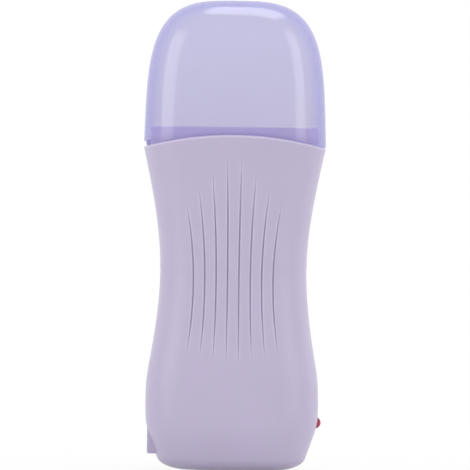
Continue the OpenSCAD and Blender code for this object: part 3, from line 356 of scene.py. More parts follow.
def wall_row(z_of, inset, side, outside):
    """One wall's points at one level, from the -X seam to the +X seam."""
    grip = np.array(grip_columns())
    x = bowed(grip, z_of(0 * grip))
    for _ in range(PASSES):
        x = bowed(grip, z_of(x))
    z = z_of(x)
    hw, hd = body_hw(z) - inset, body_hd(z) - inset
    if inset:
        x = x * hw / body_hw(z)
    y = depth_at(x, hw, hd)
    if outside and side < 0:
        y = y - groove_depth(grip, z)
    middle = np.stack([x, y, z], 1)
    share = abs(x[-1]) / hw[-1]
    first = math.atan2((1 - share**PLAN) ** (1 / PLAN), share)
    last = (SEAM + EDGE) / float(body_hd(RIM_Z))
    c, s = plan_xy(first + (last - first) * np.linspace(0, 1, SIDE_COLUMNS)[1:])
    px = c * float(body_hw(RIM_Z))
    for _ in range(PASSES):
        pz = z_of(px)
        px = c * (body_hw(pz) - inset)
    pz = z_of(px)
    py = s * (body_hd(pz) - inset)
    py[-1] = SEAM + EDGE
    edge = np.linspace(0, QUARTER, EDGE_COLUMNS)[1:]
    ex = px[-1] - (EDGE * (1 - np.cos(edge)) if outside else 0 * edge)
    ey = SEAM + EDGE * (1 - np.sin(edge))
    right = np.concatenate([np.stack([px, py, pz], 1), np.stack([ex, ey, z_of(ex)], 1)])
    left = right[::-1] * np.array([-1, 1, 1])
    whole = np.concatenate([left, middle, right])
    whole[:, 1] *= side
    return whole


def shell_loops(side):
    """Loops of a half shell, outside then inside, from the floor up to the rim's arch."""
    rows = row_heights()
    levels = [(z, None, 0.0) for z in rows]
    levels += [(rows[-1], t, 0.0) for t in np.linspace(0, 1, ARCH_ROWS)[1:]]
    levels += [(rows[-1], 1.0, a) for a in np.linspace(0, QUARTER, LIP_ROWS)[1:]]
    loops = []
    for z0, t, a in levels:
        lip_in, lip_down = LIP * (1 - math.cos(a)), LIP * (1 - math.sin(a))
        lift = max(0.0, FLOOR * (1 - z0 / FLOOR_RUN))
        outside = wall_row(row_level(z0, t, 0.0, lip_down), lip_in, side, True)
        inside = wall_row(row_level(z0, t, lift, lip_down), WALL, side, False)
        loops.append(np.concatenate([outside, inside[::-1]]))
    return loops


def half_shell(name, side):
    loops = shell_loops(side)
    n = len(loops[0])
    half = n // 2
    faces = ring_faces(len(loops), n)
    top = (len(loops) - 1) * n
    faces += [
        (top + i, top + i + 1, top + n - 2 - i, top + n - 1 - i) for i in range(half - 1)
    ]
    faces += [tuple(range(half)), tuple(range(half, n)), (0, half - 1, half, n - 1)]
    return mesh_object(name, np.concatenate(loops), faces)


# ---- the inlet housing and its opening ----

BOSS_X, BOSS_Z, BOSS_TOP, BOSS_D = 35, 6.5, 28, 16
BOSS_R, BOSS_STEPS = 0.7, 7
BOSS_IN = BOSS_X - 9.8
INLET_Z, INLET_H, INLET_D, INLET_GAP, INLET_BEVEL = 17, 18.6, 10, 0.2, 0.4
# How far the cut goes on past the housing's inner and outer ends
INLET_PAST_IN, INLET_PAST_OUT = 2, 1


def boss_half(name, side):
    """The inlet housing's front or rear half: a block with rounded outer edges."""
    bm = bmesh.new()
    bmesh.ops.create_cube(bm, size=1)
    low = Vector((-BOSS_X, -BOSS_D / 2, BOSS_Z))
    high = Vector((-BOSS_IN, BOSS_D / 2, BOSS_TOP))
    for v in bm.verts:
        v.co = Vector([(low[i] + high[i]) / 2 + v.co[i] * (high[i] - low[i]) for i in range(3)])
    outer = [e for e in bm.edges if any(v.co.x < (low.x + high.x) / 2 for v in e.verts)]
    bmesh.ops.bevel(
        bm, geom=outer, offset=BOSS_R, segments=BOSS_STEPS, profile=0.5, affect="EDGES",
        clamp_overlap=True,
    )
    cut = bmesh.ops.bisect_plane(
        bm, geom=bm.verts[:] + bm.edges[:] + bm.faces[:], plane_co=(0, side * SEAM, 0),
        plane_no=(0, -side, 0), clear_outer=True,
    )
    rim = [e for e in cut["geom_cut"] if isinstance(e, bmesh.types.BMEdge)]
    bmesh.ops.holes_fill(bm, edges=rim)
    mesh = bpy.data.meshes.new(name)
    bm.to_mesh(mesh)
    bm.free()
    verts = [v.co for v in mesh.vertices]
    faces = [tuple(p.vertices) for p in mesh.polygons]
    bpy.data.meshes.remove(mesh)
    return mesh_object(name, verts, faces)


def slot_points(h, d, n=32):
    """A slot with round ends, h long in the first direction and d wide."""
    a = np.linspace(-QUARTER, QUARTER, n)
    r = d / 2
    up = np.stack([h / 2 - r + r * np.cos(a), r * np.sin(a)], 1)
    return np.concatenate([up, -up])


def inlet_cut(name):
    h, d = INLET_H + 2 * INLET_GAP, INLET_D + 2 * INLET_GAP
    edge, wide = slot_points(h, d), slot_points(h + 2 * INLET_BEVEL, d + 2 * INLET_BEVEL)
    stations = [
        (BOSS_IN - INLET_PAST_IN, edge), (BOSS_X - INLET_BEVEL, edge),
        (BOSS_X, wide), (BOSS_X + INLET_PAST_OUT, wide),
    ]
    loops = [np.stack([np.full(len(p), -x), p[:, 1], p[:, 0] + INLET_Z], 1) for x, p in stations]
    return loft(name, loops)


# ---- the lamp's hole ----

LAMP_Z, LAMP_TILT, LAMP_R, LAMP_GAP = 19.6, math.radians(15), 2.5, 0.15
LAMP_BEVEL, LAMP_BEVEL_STEPS = 0.85, 7
# How far the cut goes on inside and outside the wall
LAMP_PAST_IN, LAMP_PAST_OUT = 6, 2
LAMP_AXIS = np.array([math.cos(LAMP_TILT), 0, -math.sin(LAMP_TILT)])
LAMP_AT = np.array([float(body_hw(LAMP_Z)), 0, LAMP_Z])
LAMP_COLUMNS = (
    (math.sin(LAMP_TILT), 0, math.cos(LAMP_TILT)),
    (0, 1, 0),
    (math.cos(LAMP_TILT), 0, -math.sin(LAMP_TILT)),
)


def lamp_cut(name):
    """The hole and its rounded mouth. A third of the rounding lies inside LAMP_AT, the rest out."""
    r = LAMP_R + LAMP_GAP
    high = LAMP_BEVEL * 2 / 3
    round_in = [
        (-LAMP_BEVEL / 3 + LAMP_BEVEL * (1 - math.cos(a)), r + LAMP_BEVEL * math.sin(a) ** 2)
        for a in np.linspace(0, QUARTER, LAMP_BEVEL_STEPS)[1:]
    ]
    stations = [(-LAMP_PAST_IN, r), (-LAMP_BEVEL / 3, r)] + round_in
    stations.append((high + LAMP_PAST_OUT, r + LAMP_BEVEL))
    return place(rod(name, stations), LAMP_COLUMNS, LAMP_AT)


# ---- the tongue inside the wall that keeps light from showing through the seam ----

# How deep in the wall it lies, how far it stands out of the rear shell, and where it is rooted
TONGUE_AT, TONGUE_OUT, TONGUE_ROOT = (0.7, 1.3), 0.095, 0.5
# Its distance from the rim, above and below the inlet housing, and from the lamp's middle
TONGUE_OFF_RIM, TONGUE_OVER_BOSS, TONGUE_UNDER_BOSS, TONGUE_OFF_LAMP = 4, 1.5, 0.5, 4.2
# Its points along a whole side, from the lamp down, round the bottom edge and along the floor
TONGUE_SIDE, TONGUE_LOW, TONGUE_BEND, TONGUE_FLOOR = 60, 8, 10, 14


def seam_tongue(name, path):
    """A strip inside the wall along the seam. The path is of points (x, z) on the outside."""
    path = np.array(path, float)
    along = np.gradient(path, axis=0)
    along /= np.linalg.norm(along, axis=1)[:, None]
    inward = np.stack([-along[:, 1], along[:, 0]], 1)
    if (inward[0] * path[0])[0] > 0:
        inward = -inward
    near, far = (path + inward * d for d in TONGUE_AT)
    loops = [
        [(ax, -TONGUE_OUT, az), (bx, -TONGUE_OUT, bz), (bx, TONGUE_ROOT, bz), (ax, TONGUE_ROOT, az)]
        for (ax, az), (bx, bz) in zip(near, far)
    ]
    return loft(name, loops)


def seam_tongues(name):
    """The tongues stop at the inlet on one side and at the lamp on the other."""
    high = RIM_Z - TONGUE_OFF_RIM
    left = np.linspace(BOSS_TOP + TONGUE_OVER_BOSS, high, TONGUE_SIDE)
    right = np.linspace(LAMP_Z + TONGUE_OFF_LAMP, high, TONGUE_SIDE)
    low = np.linspace(LAMP_Z - TONGUE_OFF_LAMP, ROUND_H, TONGUE_LOW)
    bend = ROUND_H * (1 - np.sin(np.linspace(0, QUARTER, TONGUE_BEND)[1:]))
    rows = np.concatenate([low, bend])
    side = list(zip(body_hw(rows), rows))
    foot = side[-1][0]
    under = [(x, 0.0) for x in np.linspace(foot, -foot, TONGUE_FLOOR)[1:-1]]
    other = [(-x, z) for x, z in side[::-1] if z < BOSS_Z - TONGUE_UNDER_BOSS]
    paths = [
        list(zip(-body_hw(left), left)), list(zip(body_hw(right), right)), side + under + other
    ]
    return [seam_tongue(f"{name}_tongue_{k}", path) for k, path in enumerate(paths)]


# ---- the rear shell's screw posts and window ----

SCREWS = ((-8.5, 11), (8.5, 11), (-17, 31), (17, 31))
SCREW_SEAT, SCREW_HEAD, SCREW_SHANK = 9, 2.65, 1.45
# The post round the screw's head and the stem round its shank: radius and overlap
POST_R, POST_BELOW, STEM_R, STEM_BELOW, POST_STEPS = 3.95, 2, 2.75, 1, 40
# A post ends this far inside the surface, taken this far out from the screw
POST_SHORT, POST_ASIDE = 0.3, 4
# A screw hole's flare at the surface: where it starts, and what it gains this far outside
BORE_SHORT, BORE_FLARE, BORE_PAST = 0.45, 1.6, 3
SHANK_PAST, SHANK_STEPS = 1, 32
WINDOW_W, WINDOW_H, WINDOW_Z, WINDOW_GAP = 8, 58, 93, 0.15
WINDOW_CUT = (15, 30)


def screw_tools(name, x, z):
    """What is added to the rear shell for one screw, and what is then cut from it."""
    def along_y(part, stations, n=48):
        return place(rod(name + part, stations, n), ALONG_Y, (x, 0, z))

    end = surface_y(abs(x) + POST_ASIDE, z) - POST_SHORT
    out = surface_y(x, z)
    added = [
        along_y("_post", [(SCREW_SEAT - POST_BELOW, POST_R), (end, POST_R)], POST_STEPS),
        along_y("_stem", [(SEAM, STEM_R), (SCREW_SEAT - STEM_BELOW, STEM_R)], POST_STEPS),
    ]
    bore = [
        (SCREW_SEAT, SCREW_HEAD), (out - BORE_SHORT, SCREW_HEAD),
        (out + BORE_PAST, SCREW_HEAD + BORE_FLARE),
    ]
    shank = [(-SHANK_PAST, SCREW_SHANK), (SCREW_SEAT + SHANK_PAST, SCREW_SHANK)]
    return added, [along_y("_bore", bore), along_y("_pin", shank, SHANK_STEPS)]


def window_cut(name):
    edge = slot_points(WINDOW_H + 2 * WINDOW_GAP, WINDOW_W + 2 * WINDOW_GAP)
    loops = [
        np.stack([edge[:, 1], np.full(len(edge), y), edge[:, 0] + WINDOW_Z], 1)
        for y in WINDOW_CUT
    ]
    return loft(name, loops)


# ---- painted groove shade and painted highlights on the shells' edges, kept in the mesh for the material ----

# The value where nothing is painted: lower is painted shade, as in a groove, and higher is a
# painted highlight
UNPAINTED_VALUE = 0.5
PAINTED_GROOVE_SHADE, PAINTED_GROOVE_HIGHLIGHT, PAINTED_LAMP_HIGHLIGHT, PAINTED_LIP_HIGHLIGHT = 0.5, 0.5, 0.5, 0.5
# How fast the painted highlight on a groove's edges gives way to the painted shade in its middle
GROOVE_CLEAR = 3
# The distance of the painted highlight ring from the lamp's edge, and its half width
LAMP_HIGHLIGHT_AT, LAMP_HIGHLIGHT_HALF = 0.6, 0.8
# Height of the painted highlight along the rim's edge, and a gain that keeps it full for part of
# that
LIP_HIGHLIGHT_HIGH, LIP_GAIN = 0.75, 1.6


def paint_shade_and_highlights(obj, side):
    """Keeps in the mesh where shade is painted on the shell, in its grooves, and where highlights
    are painted, on the grooves' edges, round the lamp and along the rim.
    """
    co = np.array([v.co for v in obj.data.vertices]) / MM
    x, y, z = co.T
    outer = np.abs(y) > depth_at(x, body_hw(z) - WALL / 2, body_hd(z) - WALL / 2)
    value = np.full(len(x), UNPAINTED_VALUE)
    if side < 0:
        # Painted shade in each groove's middle and a painted highlight on its shoulders
        core, shoulder = groove_marks(waist_x(x, z), z)
        ring = np.clip(shoulder - np.clip(GROOVE_CLEAR * core, 0, 1), 0, 1)
        value += outer * (PAINTED_GROOVE_HIGHLIGHT * ring - PAINTED_GROOVE_SHADE * core)
    # A painted highlight on the bevel round the lamp's hole
    out = co - LAMP_AT
    beside = np.linalg.norm(out - np.outer(out @ LAMP_AXIS, LAMP_AXIS), axis=1)
    near = np.clip(1 - np.abs(beside - LAMP_R - LAMP_HIGHLIGHT_AT) / LAMP_HIGHLIGHT_HALF, 0, 1) * (x > 0)
    value += outer * PAINTED_LAMP_HIGHLIGHT * near
    # A painted highlight along the rim's outer edge
    lip = np.clip(1 - (rim_at(x) - z) / LIP_HIGHLIGHT_HIGH, 0, 1)
    value += outer * PAINTED_LIP_HIGHLIGHT * np.clip(LIP_GAIN * lip, 0, 1)
    layer = obj.data.attributes.new("painted_shade_and_highlight", "FLOAT", "POINT")
    layer.data.foreach_set("value", np.clip(value, 0, 1).astype(np.float32))


def shell(name, side):
    """The front casing shell where side is -1, or the rear one where it is 1."""
    obj = half_shell(name, side)
    combine(obj, [boss_half(name + "_boss", side)], "UNION")
    cuts = [inlet_cut(name + "_slot"), lamp_cut(name + "_hole")]
    if side > 0:
        posts = seam_tongues(name)
        for x, z in SCREWS:
            added, cut = screw_tools(name, x, z)
            posts += added
            cuts += cut
        combine(obj, posts, "UNION")
        cuts.append(window_cut(name + "_window"))
    combine(obj, cuts, "DIFFERENCE")
    finish_mesh(obj)
    paint_shade_and_highlights(obj, side)
    return obj


# ---- the cap ----

CAP_H, CAP_WALL, CAP_DRAFT, CAP_PROUD, CAP_GAP = 61.1, 2, 2, 0.1, 0.25
# Powers of the dome's side outline, in height and in width
DOME_POWER, DOME_CORNER = 4.3, 3.28
NOTCH_H, NOTCH_W, NOTCH_R = 1.9, 25, 1.2
CAP_HW = RIM_W / 2 + CAP_PROUD
CAP_HD = float(body_hd(RIM_TOP)) + CAP_PROUD + CAP_DRAFT * RIM_RISE / CAP_H
CAP_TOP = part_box("cap")[1].z / MM
# Radius of the cap's lower edge
CAP_EDGE = 0.4
# The share of the cap's height up to which its rings are spaced by height, then by width
CAP_SIDE = 0.55
CAP_COLUMNS, CAP_EDGE_RINGS, CAP_SIDE_RINGS, CAP_DOME_RINGS = 240, 5, 34, 64
DOME_SPACING = 0.9


def cap_half(base, z, high):
    """Half the cap's size at a height, from the size at its rim."""
    s = (z - RIM_Z) / high
    share = np.clip(s, 0, 1)
    return (base - CAP_DRAFT * s) * (1 - share**DOME_POWER) ** (1 / DOME_CORNER)


def cap_surface(inset):
    """Rings of the cap's outside or inside, from the rim up."""
    c, s = plan_xy(np.arange(CAP_COLUMNS) * 2 * math.pi / CAP_COLUMNS)
    high = CAP_H - inset
    hw, hd = CAP_HW - inset, CAP_HD - inset
    x, y = c * hw, s * hd
    off = np.clip((NOTCH_W / 2 - np.abs(y)) / NOTCH_R, 0, 1)
    notch = np.where(x < 0, NOTCH_H * off * off * (3 - 2 * off), 0)
    low = rim_at(x) + CAP_GAP + notch

    def ring(z, pull=0.0):
        half_w, half_d = cap_half(hw, z, high) - pull, cap_half(hd, z, high) - pull
        return np.stack([c * half_w, s * half_d, z], 1)

    rings = []
    for t in np.linspace(0, QUARTER, CAP_EDGE_RINGS):
        pull = CAP_EDGE * (1 - math.sin(t)) * (1 if inset == 0 else -1)
        rings.append(ring(low + CAP_EDGE * (1 - math.cos(t)), pull))
    start = low + CAP_EDGE
    shoulder = RIM_Z + CAP_SIDE * high
    for t in np.linspace(0, 1, CAP_SIDE_RINGS)[1:]:
        rings.append(ring(start + (shoulder - start) * t))
    first = (1 - CAP_SIDE**DOME_POWER) ** (1 / DOME_CORNER)
    for share in first * np.cos(np.linspace(0, QUARTER, CAP_DOME_RINGS)[1:-1]) ** DOME_SPACING:
        level = (1 - share**DOME_CORNER) ** (1 / DOME_POWER)
        z = np.full(CAP_COLUMNS, min(RIM_Z + high * level, CAP_TOP - inset))
        draft = CAP_DRAFT * level
        rings.append(np.stack([c * (hw - draft) * share, s * (hd - draft) * share, z], 1))
    return rings


def make_cap(name):
    """The cap, from its top down the outside and up the inside. Its inside has material 1."""
    outer, inner = cap_surface(0), cap_surface(CAP_WALL)
    obj = loft(name, outer[::-1] + inner, CAP_SHARP)
    sides = (len(outer) + len(inner) - 1) * CAP_COLUMNS
    inside = [int(k >= len(outer) * CAP_COLUMNS) for k in range(sides)] + [0, 1]
    obj.data.polygons.foreach_set("material_index", inside)
    return obj


# ---- shader nodes ----

# Noise lies mostly between these two
NOISE_LOW, NOISE_HIGH = 0.3, 0.7


def node_of(tree, kind):
    """The tree's node of a kind."""
    return next(n for n in tree.nodes if n.type == kind)


def new_material(name):
    mat = bpy.data.materials.new(name)
    mat.use_nodes = True
    tree = mat.node_tree
    tree.nodes.clear()
    out = tree.nodes.new("ShaderNodeOutputMaterial")
    shader = tree.nodes.new("ShaderNodeBsdfPrincipled")
    tree.links.new(shader.outputs[0], out.inputs[0])
    where = tree.nodes.new("ShaderNodeTexCoord").outputs["Object"]
    return mat, tree, shader, where


def noise(tree, where, size_mm, detail=2.0, rough=0.5, stretch=None):
    """A noise whose blobs are about size_mm across."""
    node = tree.nodes.new("ShaderNodeTexNoise")
    node.inputs["Scale"].default_value = 1 / (size_mm * MM)
    node.inputs["Detail"].default_value = detail
    node.inputs["Roughness"].default_value = rough
    if stretch:
        scale = tree.nodes.new("ShaderNodeMapping")
        scale.inputs["Scale"].default_value = stretch
        tree.links.new(where, scale.inputs["Vector"])
        where = scale.outputs["Vector"]
    tree.links.new(where, node.inputs["Vector"])
    return node.outputs["Fac"]


def spread(tree, value, low, high, start=NOISE_LOW, end=NOISE_HIGH):
    """A value that goes from low to high as the given one goes from start to end."""
    node = tree.nodes.new("ShaderNodeMapRange")
    for key, v in (("From Min", start), ("From Max", end), ("To Min", low), ("To Max", high)):
        node.inputs[key].default_value = v
    tree.links.new(value, node.inputs["Value"])
    return node.outputs["Result"]


def shades(tree, value, dark, light):
    """A colour that goes from dark to light with a noise."""
    node = tree.nodes.new("ShaderNodeValToRGB")
    ends = node.color_ramp.elements
    for end, position, colour in zip(ends, (NOISE_LOW, NOISE_HIGH), (dark, light)):
        end.position = position
        end.color = (*colour, 1)
    tree.links.new(value, node.inputs["Fac"])
    return node.outputs["Color"]


def blend(tree, a, b, share, how="MIX"):
    """Colour a with b laid over it. Each of a, b and share is a socket or a value."""
    node = tree.nodes.new("ShaderNodeMix")
    node.data_type = "RGBA"
    node.blend_type = how
    for key, v in ((0, share), (6, a), (7, b)):
        if isinstance(v, bpy.types.NodeSocket):
            tree.links.new(v, node.inputs[key])
        else:
            node.inputs[key].default_value = (*v, 1) if key else v
    return node.outputs[2]


def combined(tree, how, a, b):
    """Two values put together by a Math node."""
    node = tree.nodes.new("ShaderNodeMath")
    node.operation = how
    tree.links.new(a, node.inputs[0])
    tree.links.new(b, node.inputs[1])
    return node.outputs[0]


def mix_shaders(tree, out, share, first, second):
    """Sends the output the first shader where share is 0, and the second where it is 1."""
    node = tree.nodes.new("ShaderNodeMixShader")
    for k, socket in enumerate((share, first.outputs[0], second.outputs[0])):
        tree.links.new(socket, node.inputs[k])
    tree.links.new(node.outputs[0], out.inputs[0])


def bump(tree, shader, heights):
    """Stacks bumps: heights is a list of (value, height in mm)."""
    normal = None
    for value, height in heights:
        node = tree.nodes.new("ShaderNodeBump")
        node.inputs["Strength"].default_value = 1.0
        node.inputs["Distance"].default_value = height * MM
        tree.links.new(value, node.inputs["Height"])
        if normal is not None:
            tree.links.new(normal, node.inputs["Normal"])
        normal = node.outputs["Normal"]
    tree.links.new(normal, shader.inputs["Normal"])


# ---- materials ----

LILAC, PALE_LILAC = (0.500, 0.442, 0.612), (0.73, 0.66, 0.86)
# Painted shade multiplied into the grooves, and a painted highlight added on the grooves' edges,
# round the lamp and along the rim
PAINTED_SHADE_TINT = (0.71, 0.70, 0.76)
PAINTED_HIGHLIGHT_TINT = (0.17, 0.17, 0.17)
BLACK, WHITE = (0, 0, 0), (1, 1, 1)
# Size of a plastic's waviness, and how much finer its gloss varies than its colour
WAVE_MM, GLOSS_FINER = 6, 5

CLEAR_IOR, CLEAR_ROUGH = 1.03, (0.02, 0.06)
CLEAR_MARKS_MM, CLEAR_ROUGH_MM, CLEAR_WAVE_MM, CLEAR_WAVE_HIGH = 18, 5, 9, 0.0015
CLEAR_MARKS = (0.985, 0.985, 0.985)
# How far a surface turns away as the tint goes from the face-on one to the edge-on one
FACING_BLEND, TINT_TURN = 0.5, (0.2, 0.62)
# The coat at the edges, and how far a surface turns away as the coat comes down to it
EDGE_COAT, COAT_TURN = 0.35, (0.6, 0.9)
COAT_ROUGH, COAT_IOR = 0.13, 1.5
# Tints of the cap's rim and top face on, then edge on; the top's are lighter, a painted highlight
# where the dome catches the overhead light
CAP_TINTS = (
    (0.53, 0.50, 0.69), (0.585, 0.575, 0.80), (0.385, 0.37, 0.69), (0.45, 0.435, 0.785)
)
CAP_COAT = 0.85
INSIDE_TINT, WINDOW_TINT = (0.97, 0.97, 0.98), (0.93, 0.92, 0.95)

LAMP_REDS, LAMP_PAINTED_SHADE = ((0.44, 0.018, 0.048), (0.53, 0.028, 0.07)), (0.10, 0.006, 0.018)
# Where along its axis the lamp's painted shade at its base gives way to its red, from LAMP_AT
LAMP_TURN = (-0.3, 0.7)
LAMP_MARKS_MM, LAMP_ROUGH_MM, LAMP_WAVE_MM, LAMP_WAVE_HIGH = 1.6, 1, 1.5, 0.004
LAMP_ROUGH = (0.12, 0.2)
LAMP_COAT, LAMP_SPECULAR, LAMP_SCATTER = 0.15, 0.3, 0.15
LAMP_SCATTER_FAR = (0.002, 0.0004, 0.0004)

# Each plastic's or metal's colour, its change, its roughness, its grain's size and height, and
# whatever differs from plastic()
PLAIN_MATERIALS = {
    "pale_lilac_plastic": (PALE_LILAC, 0.012, (0.36, 0.46), 0.32, 0.004, {"patch": 22}),
    "ivory_plastic": ((0.80, 0.78, 0.72), 0.03, (0.35, 0.5), 0.35, 0.006, {}),
    "aluminium": (
        (0.80, 0.81, 0.82), 0.04, (0.28, 0.42), 0.25, 0.004, {"metal": 1.0, "stretch": (1, 1, 14)}
    ),
    "heater_ceramic": ((0.10, 0.095, 0.09), 0.15, (0.6, 0.8), 0.3, 0.02, {"patch": 3}),
    "brass": ((0.76, 0.60, 0.30), 0.06, (0.22, 0.38), 0.2, 0.003, {"metal": 1.0, "patch": 4}),
    "film": ((0.62, 0.32, 0.06), 0.05, (0.2, 0.3), 0.8, 0.004, {"patch": 6}),
    "steel": ((0.62, 0.63, 0.65), 0.05, (0.22, 0.36), 0.2, 0.003, {"metal": 1.0, "patch": 3}),
    "fuse_case": ((0.78, 0.76, 0.70), 0.04, (0.4, 0.55), 0.3, 0.006, {"patch": 3}),
    "black_plastic": ((0.022, 0.022, 0.024), 0.12, (0.38, 0.55), 0.22, 0.006, {"patch": 5}),
    "pin_metal": ((0.70, 0.69, 0.67), 0.04, (0.14, 0.26), 0.2, 0.002, {"metal": 1.0, "patch": 3}),
    "board": ((0.03, 0.16, 0.06), 0.10, (0.3, 0.4), 0.6, 0.006, {"coat": 0.3, "patch": 3}),
    "part_case": ((0.62, 0.47, 0.30), 0.08, (0.3, 0.4), 0.3, 0.006, {"patch": 1.5}),
    "live_insulation": ((0.14, 0.055, 0.025), 0.08, (0.4, 0.5), 0.4, 0.006, {"patch": 5}),
    "neutral_insulation": ((0.02, 0.08, 0.38), 0.08, (0.4, 0.5), 0.4, 0.006, {"patch": 5}),
    "lamp_insulation": ((0.45, 0.02, 0.02), 0.08, (0.4, 0.5), 0.4, 0.006, {"patch": 5}),
}


def plastic(
    name, colour, change, rough, grain, grain_mm, coat=0.0, metal=0.0, patch=14, stretch=None,
    wave=0.004,
):
    """Moulded plastic or metal: soft colour patches, a fine grain and a faint waviness."""
    mat, tree, shader, where = new_material(name)
    dark = [c * (1 - change) for c in colour]
    light = [min(1, c * (1 + change)) for c in colour]
    patches = noise(tree, where, patch, detail=3)
    tree.links.new(shades(tree, patches, dark, light), shader.inputs["Base Color"])
    gloss = noise(tree, where, patch / GLOSS_FINER, detail=4, rough=0.6, stretch=stretch)
    tree.links.new(spread(tree, gloss, *rough), shader.inputs["Roughness"])
    fine = noise(tree, where, grain, detail=3, rough=0.6, stretch=stretch)
    bump(tree, shader, [(noise(tree, where, WAVE_MM), wave), (fine, grain_mm)])
    shader.inputs["Metallic"].default_value = metal
    shader.inputs["Coat Weight"].default_value = coat
    return mat


def lilac_plastic():
    """The casing's plastic, with painted highlights on its edges and painted shade in its grooves.
    """
    mat = plastic(
        "lilac_plastic", LILAC, change=0.012, rough=(0.34, 0.42), grain=0.32, grain_mm=0.004,
        patch=22, wave=0.003,
    )
    tree = mat.node_tree
    shader = node_of(tree, "BSDF_PRINCIPLED")
    colour = shader.inputs["Base Color"].links[0].from_socket
    painted_shade_and_highlight = tree.nodes.new("ShaderNodeAttribute")
    painted_shade_and_highlight.attribute_name = "painted_shade_and_highlight"
    value = painted_shade_and_highlight.outputs["Fac"]
    # Painted shade where the value is below the plain one, and a painted highlight where it is
    # above
    dark = blend(tree, WHITE, PAINTED_SHADE_TINT, spread(tree, value, 1, 0, 0, UNPAINTED_VALUE))
    pale = blend(tree, BLACK, PAINTED_HIGHLIGHT_TINT, spread(tree, value, 0, 1, UNPAINTED_VALUE, 1))
    colour = blend(tree, colour, dark, 1.0, "MULTIPLY")
    tree.links.new(blend(tree, colour, pale, 1.0, "ADD"), shader.inputs["Base Color"])
    return mat


def clear_plastic(name, tints, coat=1.0):
    """Clear plastic with faint flow marks. The tints are those of its rim and its top seen face
    on, and of its rim and its top seen edge on, where light crosses more of the plastic. Lamps
    light what is behind it."""
    mat, tree, shader, where = new_material(name)
    parts = tree.nodes.new("ShaderNodeSeparateXYZ")
    tree.links.new(where, parts.inputs[0])
    # On the cap the tint grows lighter from the rim to the top: a painted highlight on the dome
    rise = spread(tree, parts.outputs[2], 0, 1, RIM_Z * MM, CAP_TOP * MM)
    face_on, edge_on = (blend(tree, tints[k], tints[k + 1], rise) for k in (0, 2))
    marks = shades(tree, noise(tree, where, CLEAR_MARKS_MM), CLEAR_MARKS, WHITE)
    colour = blend(tree, face_on, marks, 1.0, "MULTIPLY")
    facing = tree.nodes.new("ShaderNodeLayerWeight")
    facing.inputs["Blend"].default_value = FACING_BLEND
    edge = spread(tree, facing.outputs["Facing"], 0, 1, *TINT_TURN)
    tree.links.new(blend(tree, colour, edge_on, edge), shader.inputs["Base Color"])
    gloss = noise(tree, where, CLEAR_ROUGH_MM, detail=3)
    tree.links.new(spread(tree, gloss, *CLEAR_ROUGH), shader.inputs["Roughness"])
    shader.inputs["Transmission Weight"].default_value = 1
    shader.inputs["IOR"].default_value = CLEAR_IOR
    if coat:
        weight = spread(tree, facing.outputs["Facing"], coat, EDGE_COAT, *COAT_TURN)
        tree.links.new(weight, shader.inputs["Coat Weight"])
    shader.inputs["Coat Roughness"].default_value = COAT_ROUGH
    shader.inputs["Coat IOR"].default_value = COAT_IOR
    bump(tree, shader, [(noise(tree, where, CLEAR_WAVE_MM), CLEAR_WAVE_HIGH)])
    path = tree.nodes.new("ShaderNodeLightPath")
    open_way = tree.nodes.new("ShaderNodeBsdfTransparent")
    tree.links.new(colour, open_way.inputs["Color"])
    out = node_of(tree, "OUTPUT_MATERIAL")
    mix_shaders(tree, out, path.outputs["Is Shadow Ray"], shader, open_way)
    return mat


def lamp_plastic():
    """The lamp's clear red, with painted shade at its base, where it sits in its hole."""
    mat, tree, shader, where = new_material("red_lamp")
    body = shades(tree, noise(tree, where, LAMP_MARKS_MM), *LAMP_REDS)
    along = tree.nodes.new("ShaderNodeVectorMath")
    along.operation = "DOT_PRODUCT"
    tree.links.new(where, along.inputs[0])
    along.inputs[1].default_value = tuple(LAMP_AXIS)
    start = float(LAMP_AT @ LAMP_AXIS) * MM
    tip = spread(tree, along.outputs["Value"], 0, 1, *(start + turn * MM for turn in LAMP_TURN))
    # Painted shade towards the lamp's base
    tree.links.new(blend(tree, LAMP_PAINTED_SHADE, body, tip), shader.inputs["Base Color"])
    gloss = noise(tree, where, LAMP_ROUGH_MM)
    tree.links.new(spread(tree, gloss, *LAMP_ROUGH), shader.inputs["Roughness"])
    bump(tree, shader, [(noise(tree, where, LAMP_WAVE_MM, detail=1), LAMP_WAVE_HIGH)])
    shader.inputs["Coat Weight"].default_value = LAMP_COAT
    shader.inputs["Specular IOR Level"].default_value = LAMP_SPECULAR
    shader.inputs["Subsurface Weight"].default_value = LAMP_SCATTER
    shader.inputs["Subsurface Radius"].default_value = LAMP_SCATTER_FAR
    shader.inputs["Subsurface Scale"].default_value = 1.0
    return mat


lilac = lilac_plastic()
clear = clear_plastic("clear_cap", CAP_TINTS, CAP_COAT)
clear_inside = clear_plastic("clear_cap_inside", (INSIDE_TINT,) * 4, 0.0)
made = {
    name: plastic(name, *settings, **more)
    for name, (*settings, more) in PLAIN_MATERIALS.items()
}
made["clear_window"] = clear_plastic("clear_window", (WINDOW_TINT,) * 4)
made["red_lamp"] = lamp_plastic()

# ---- pieces ----

front = shell("front_casing", -1)
front.data.materials.append(lilac)
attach(front, "casing")
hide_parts("front_shell")

rear = shell("rear_casing", 1)
rear.data.materials.append(lilac)
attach(rear, "casing")
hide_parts("rear_shell")

cap = make_cap("clear_cover")
cap.data.materials.append(clear)
cap.data.materials.append(clear_inside)
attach(cap, "cap")
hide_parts("cap")

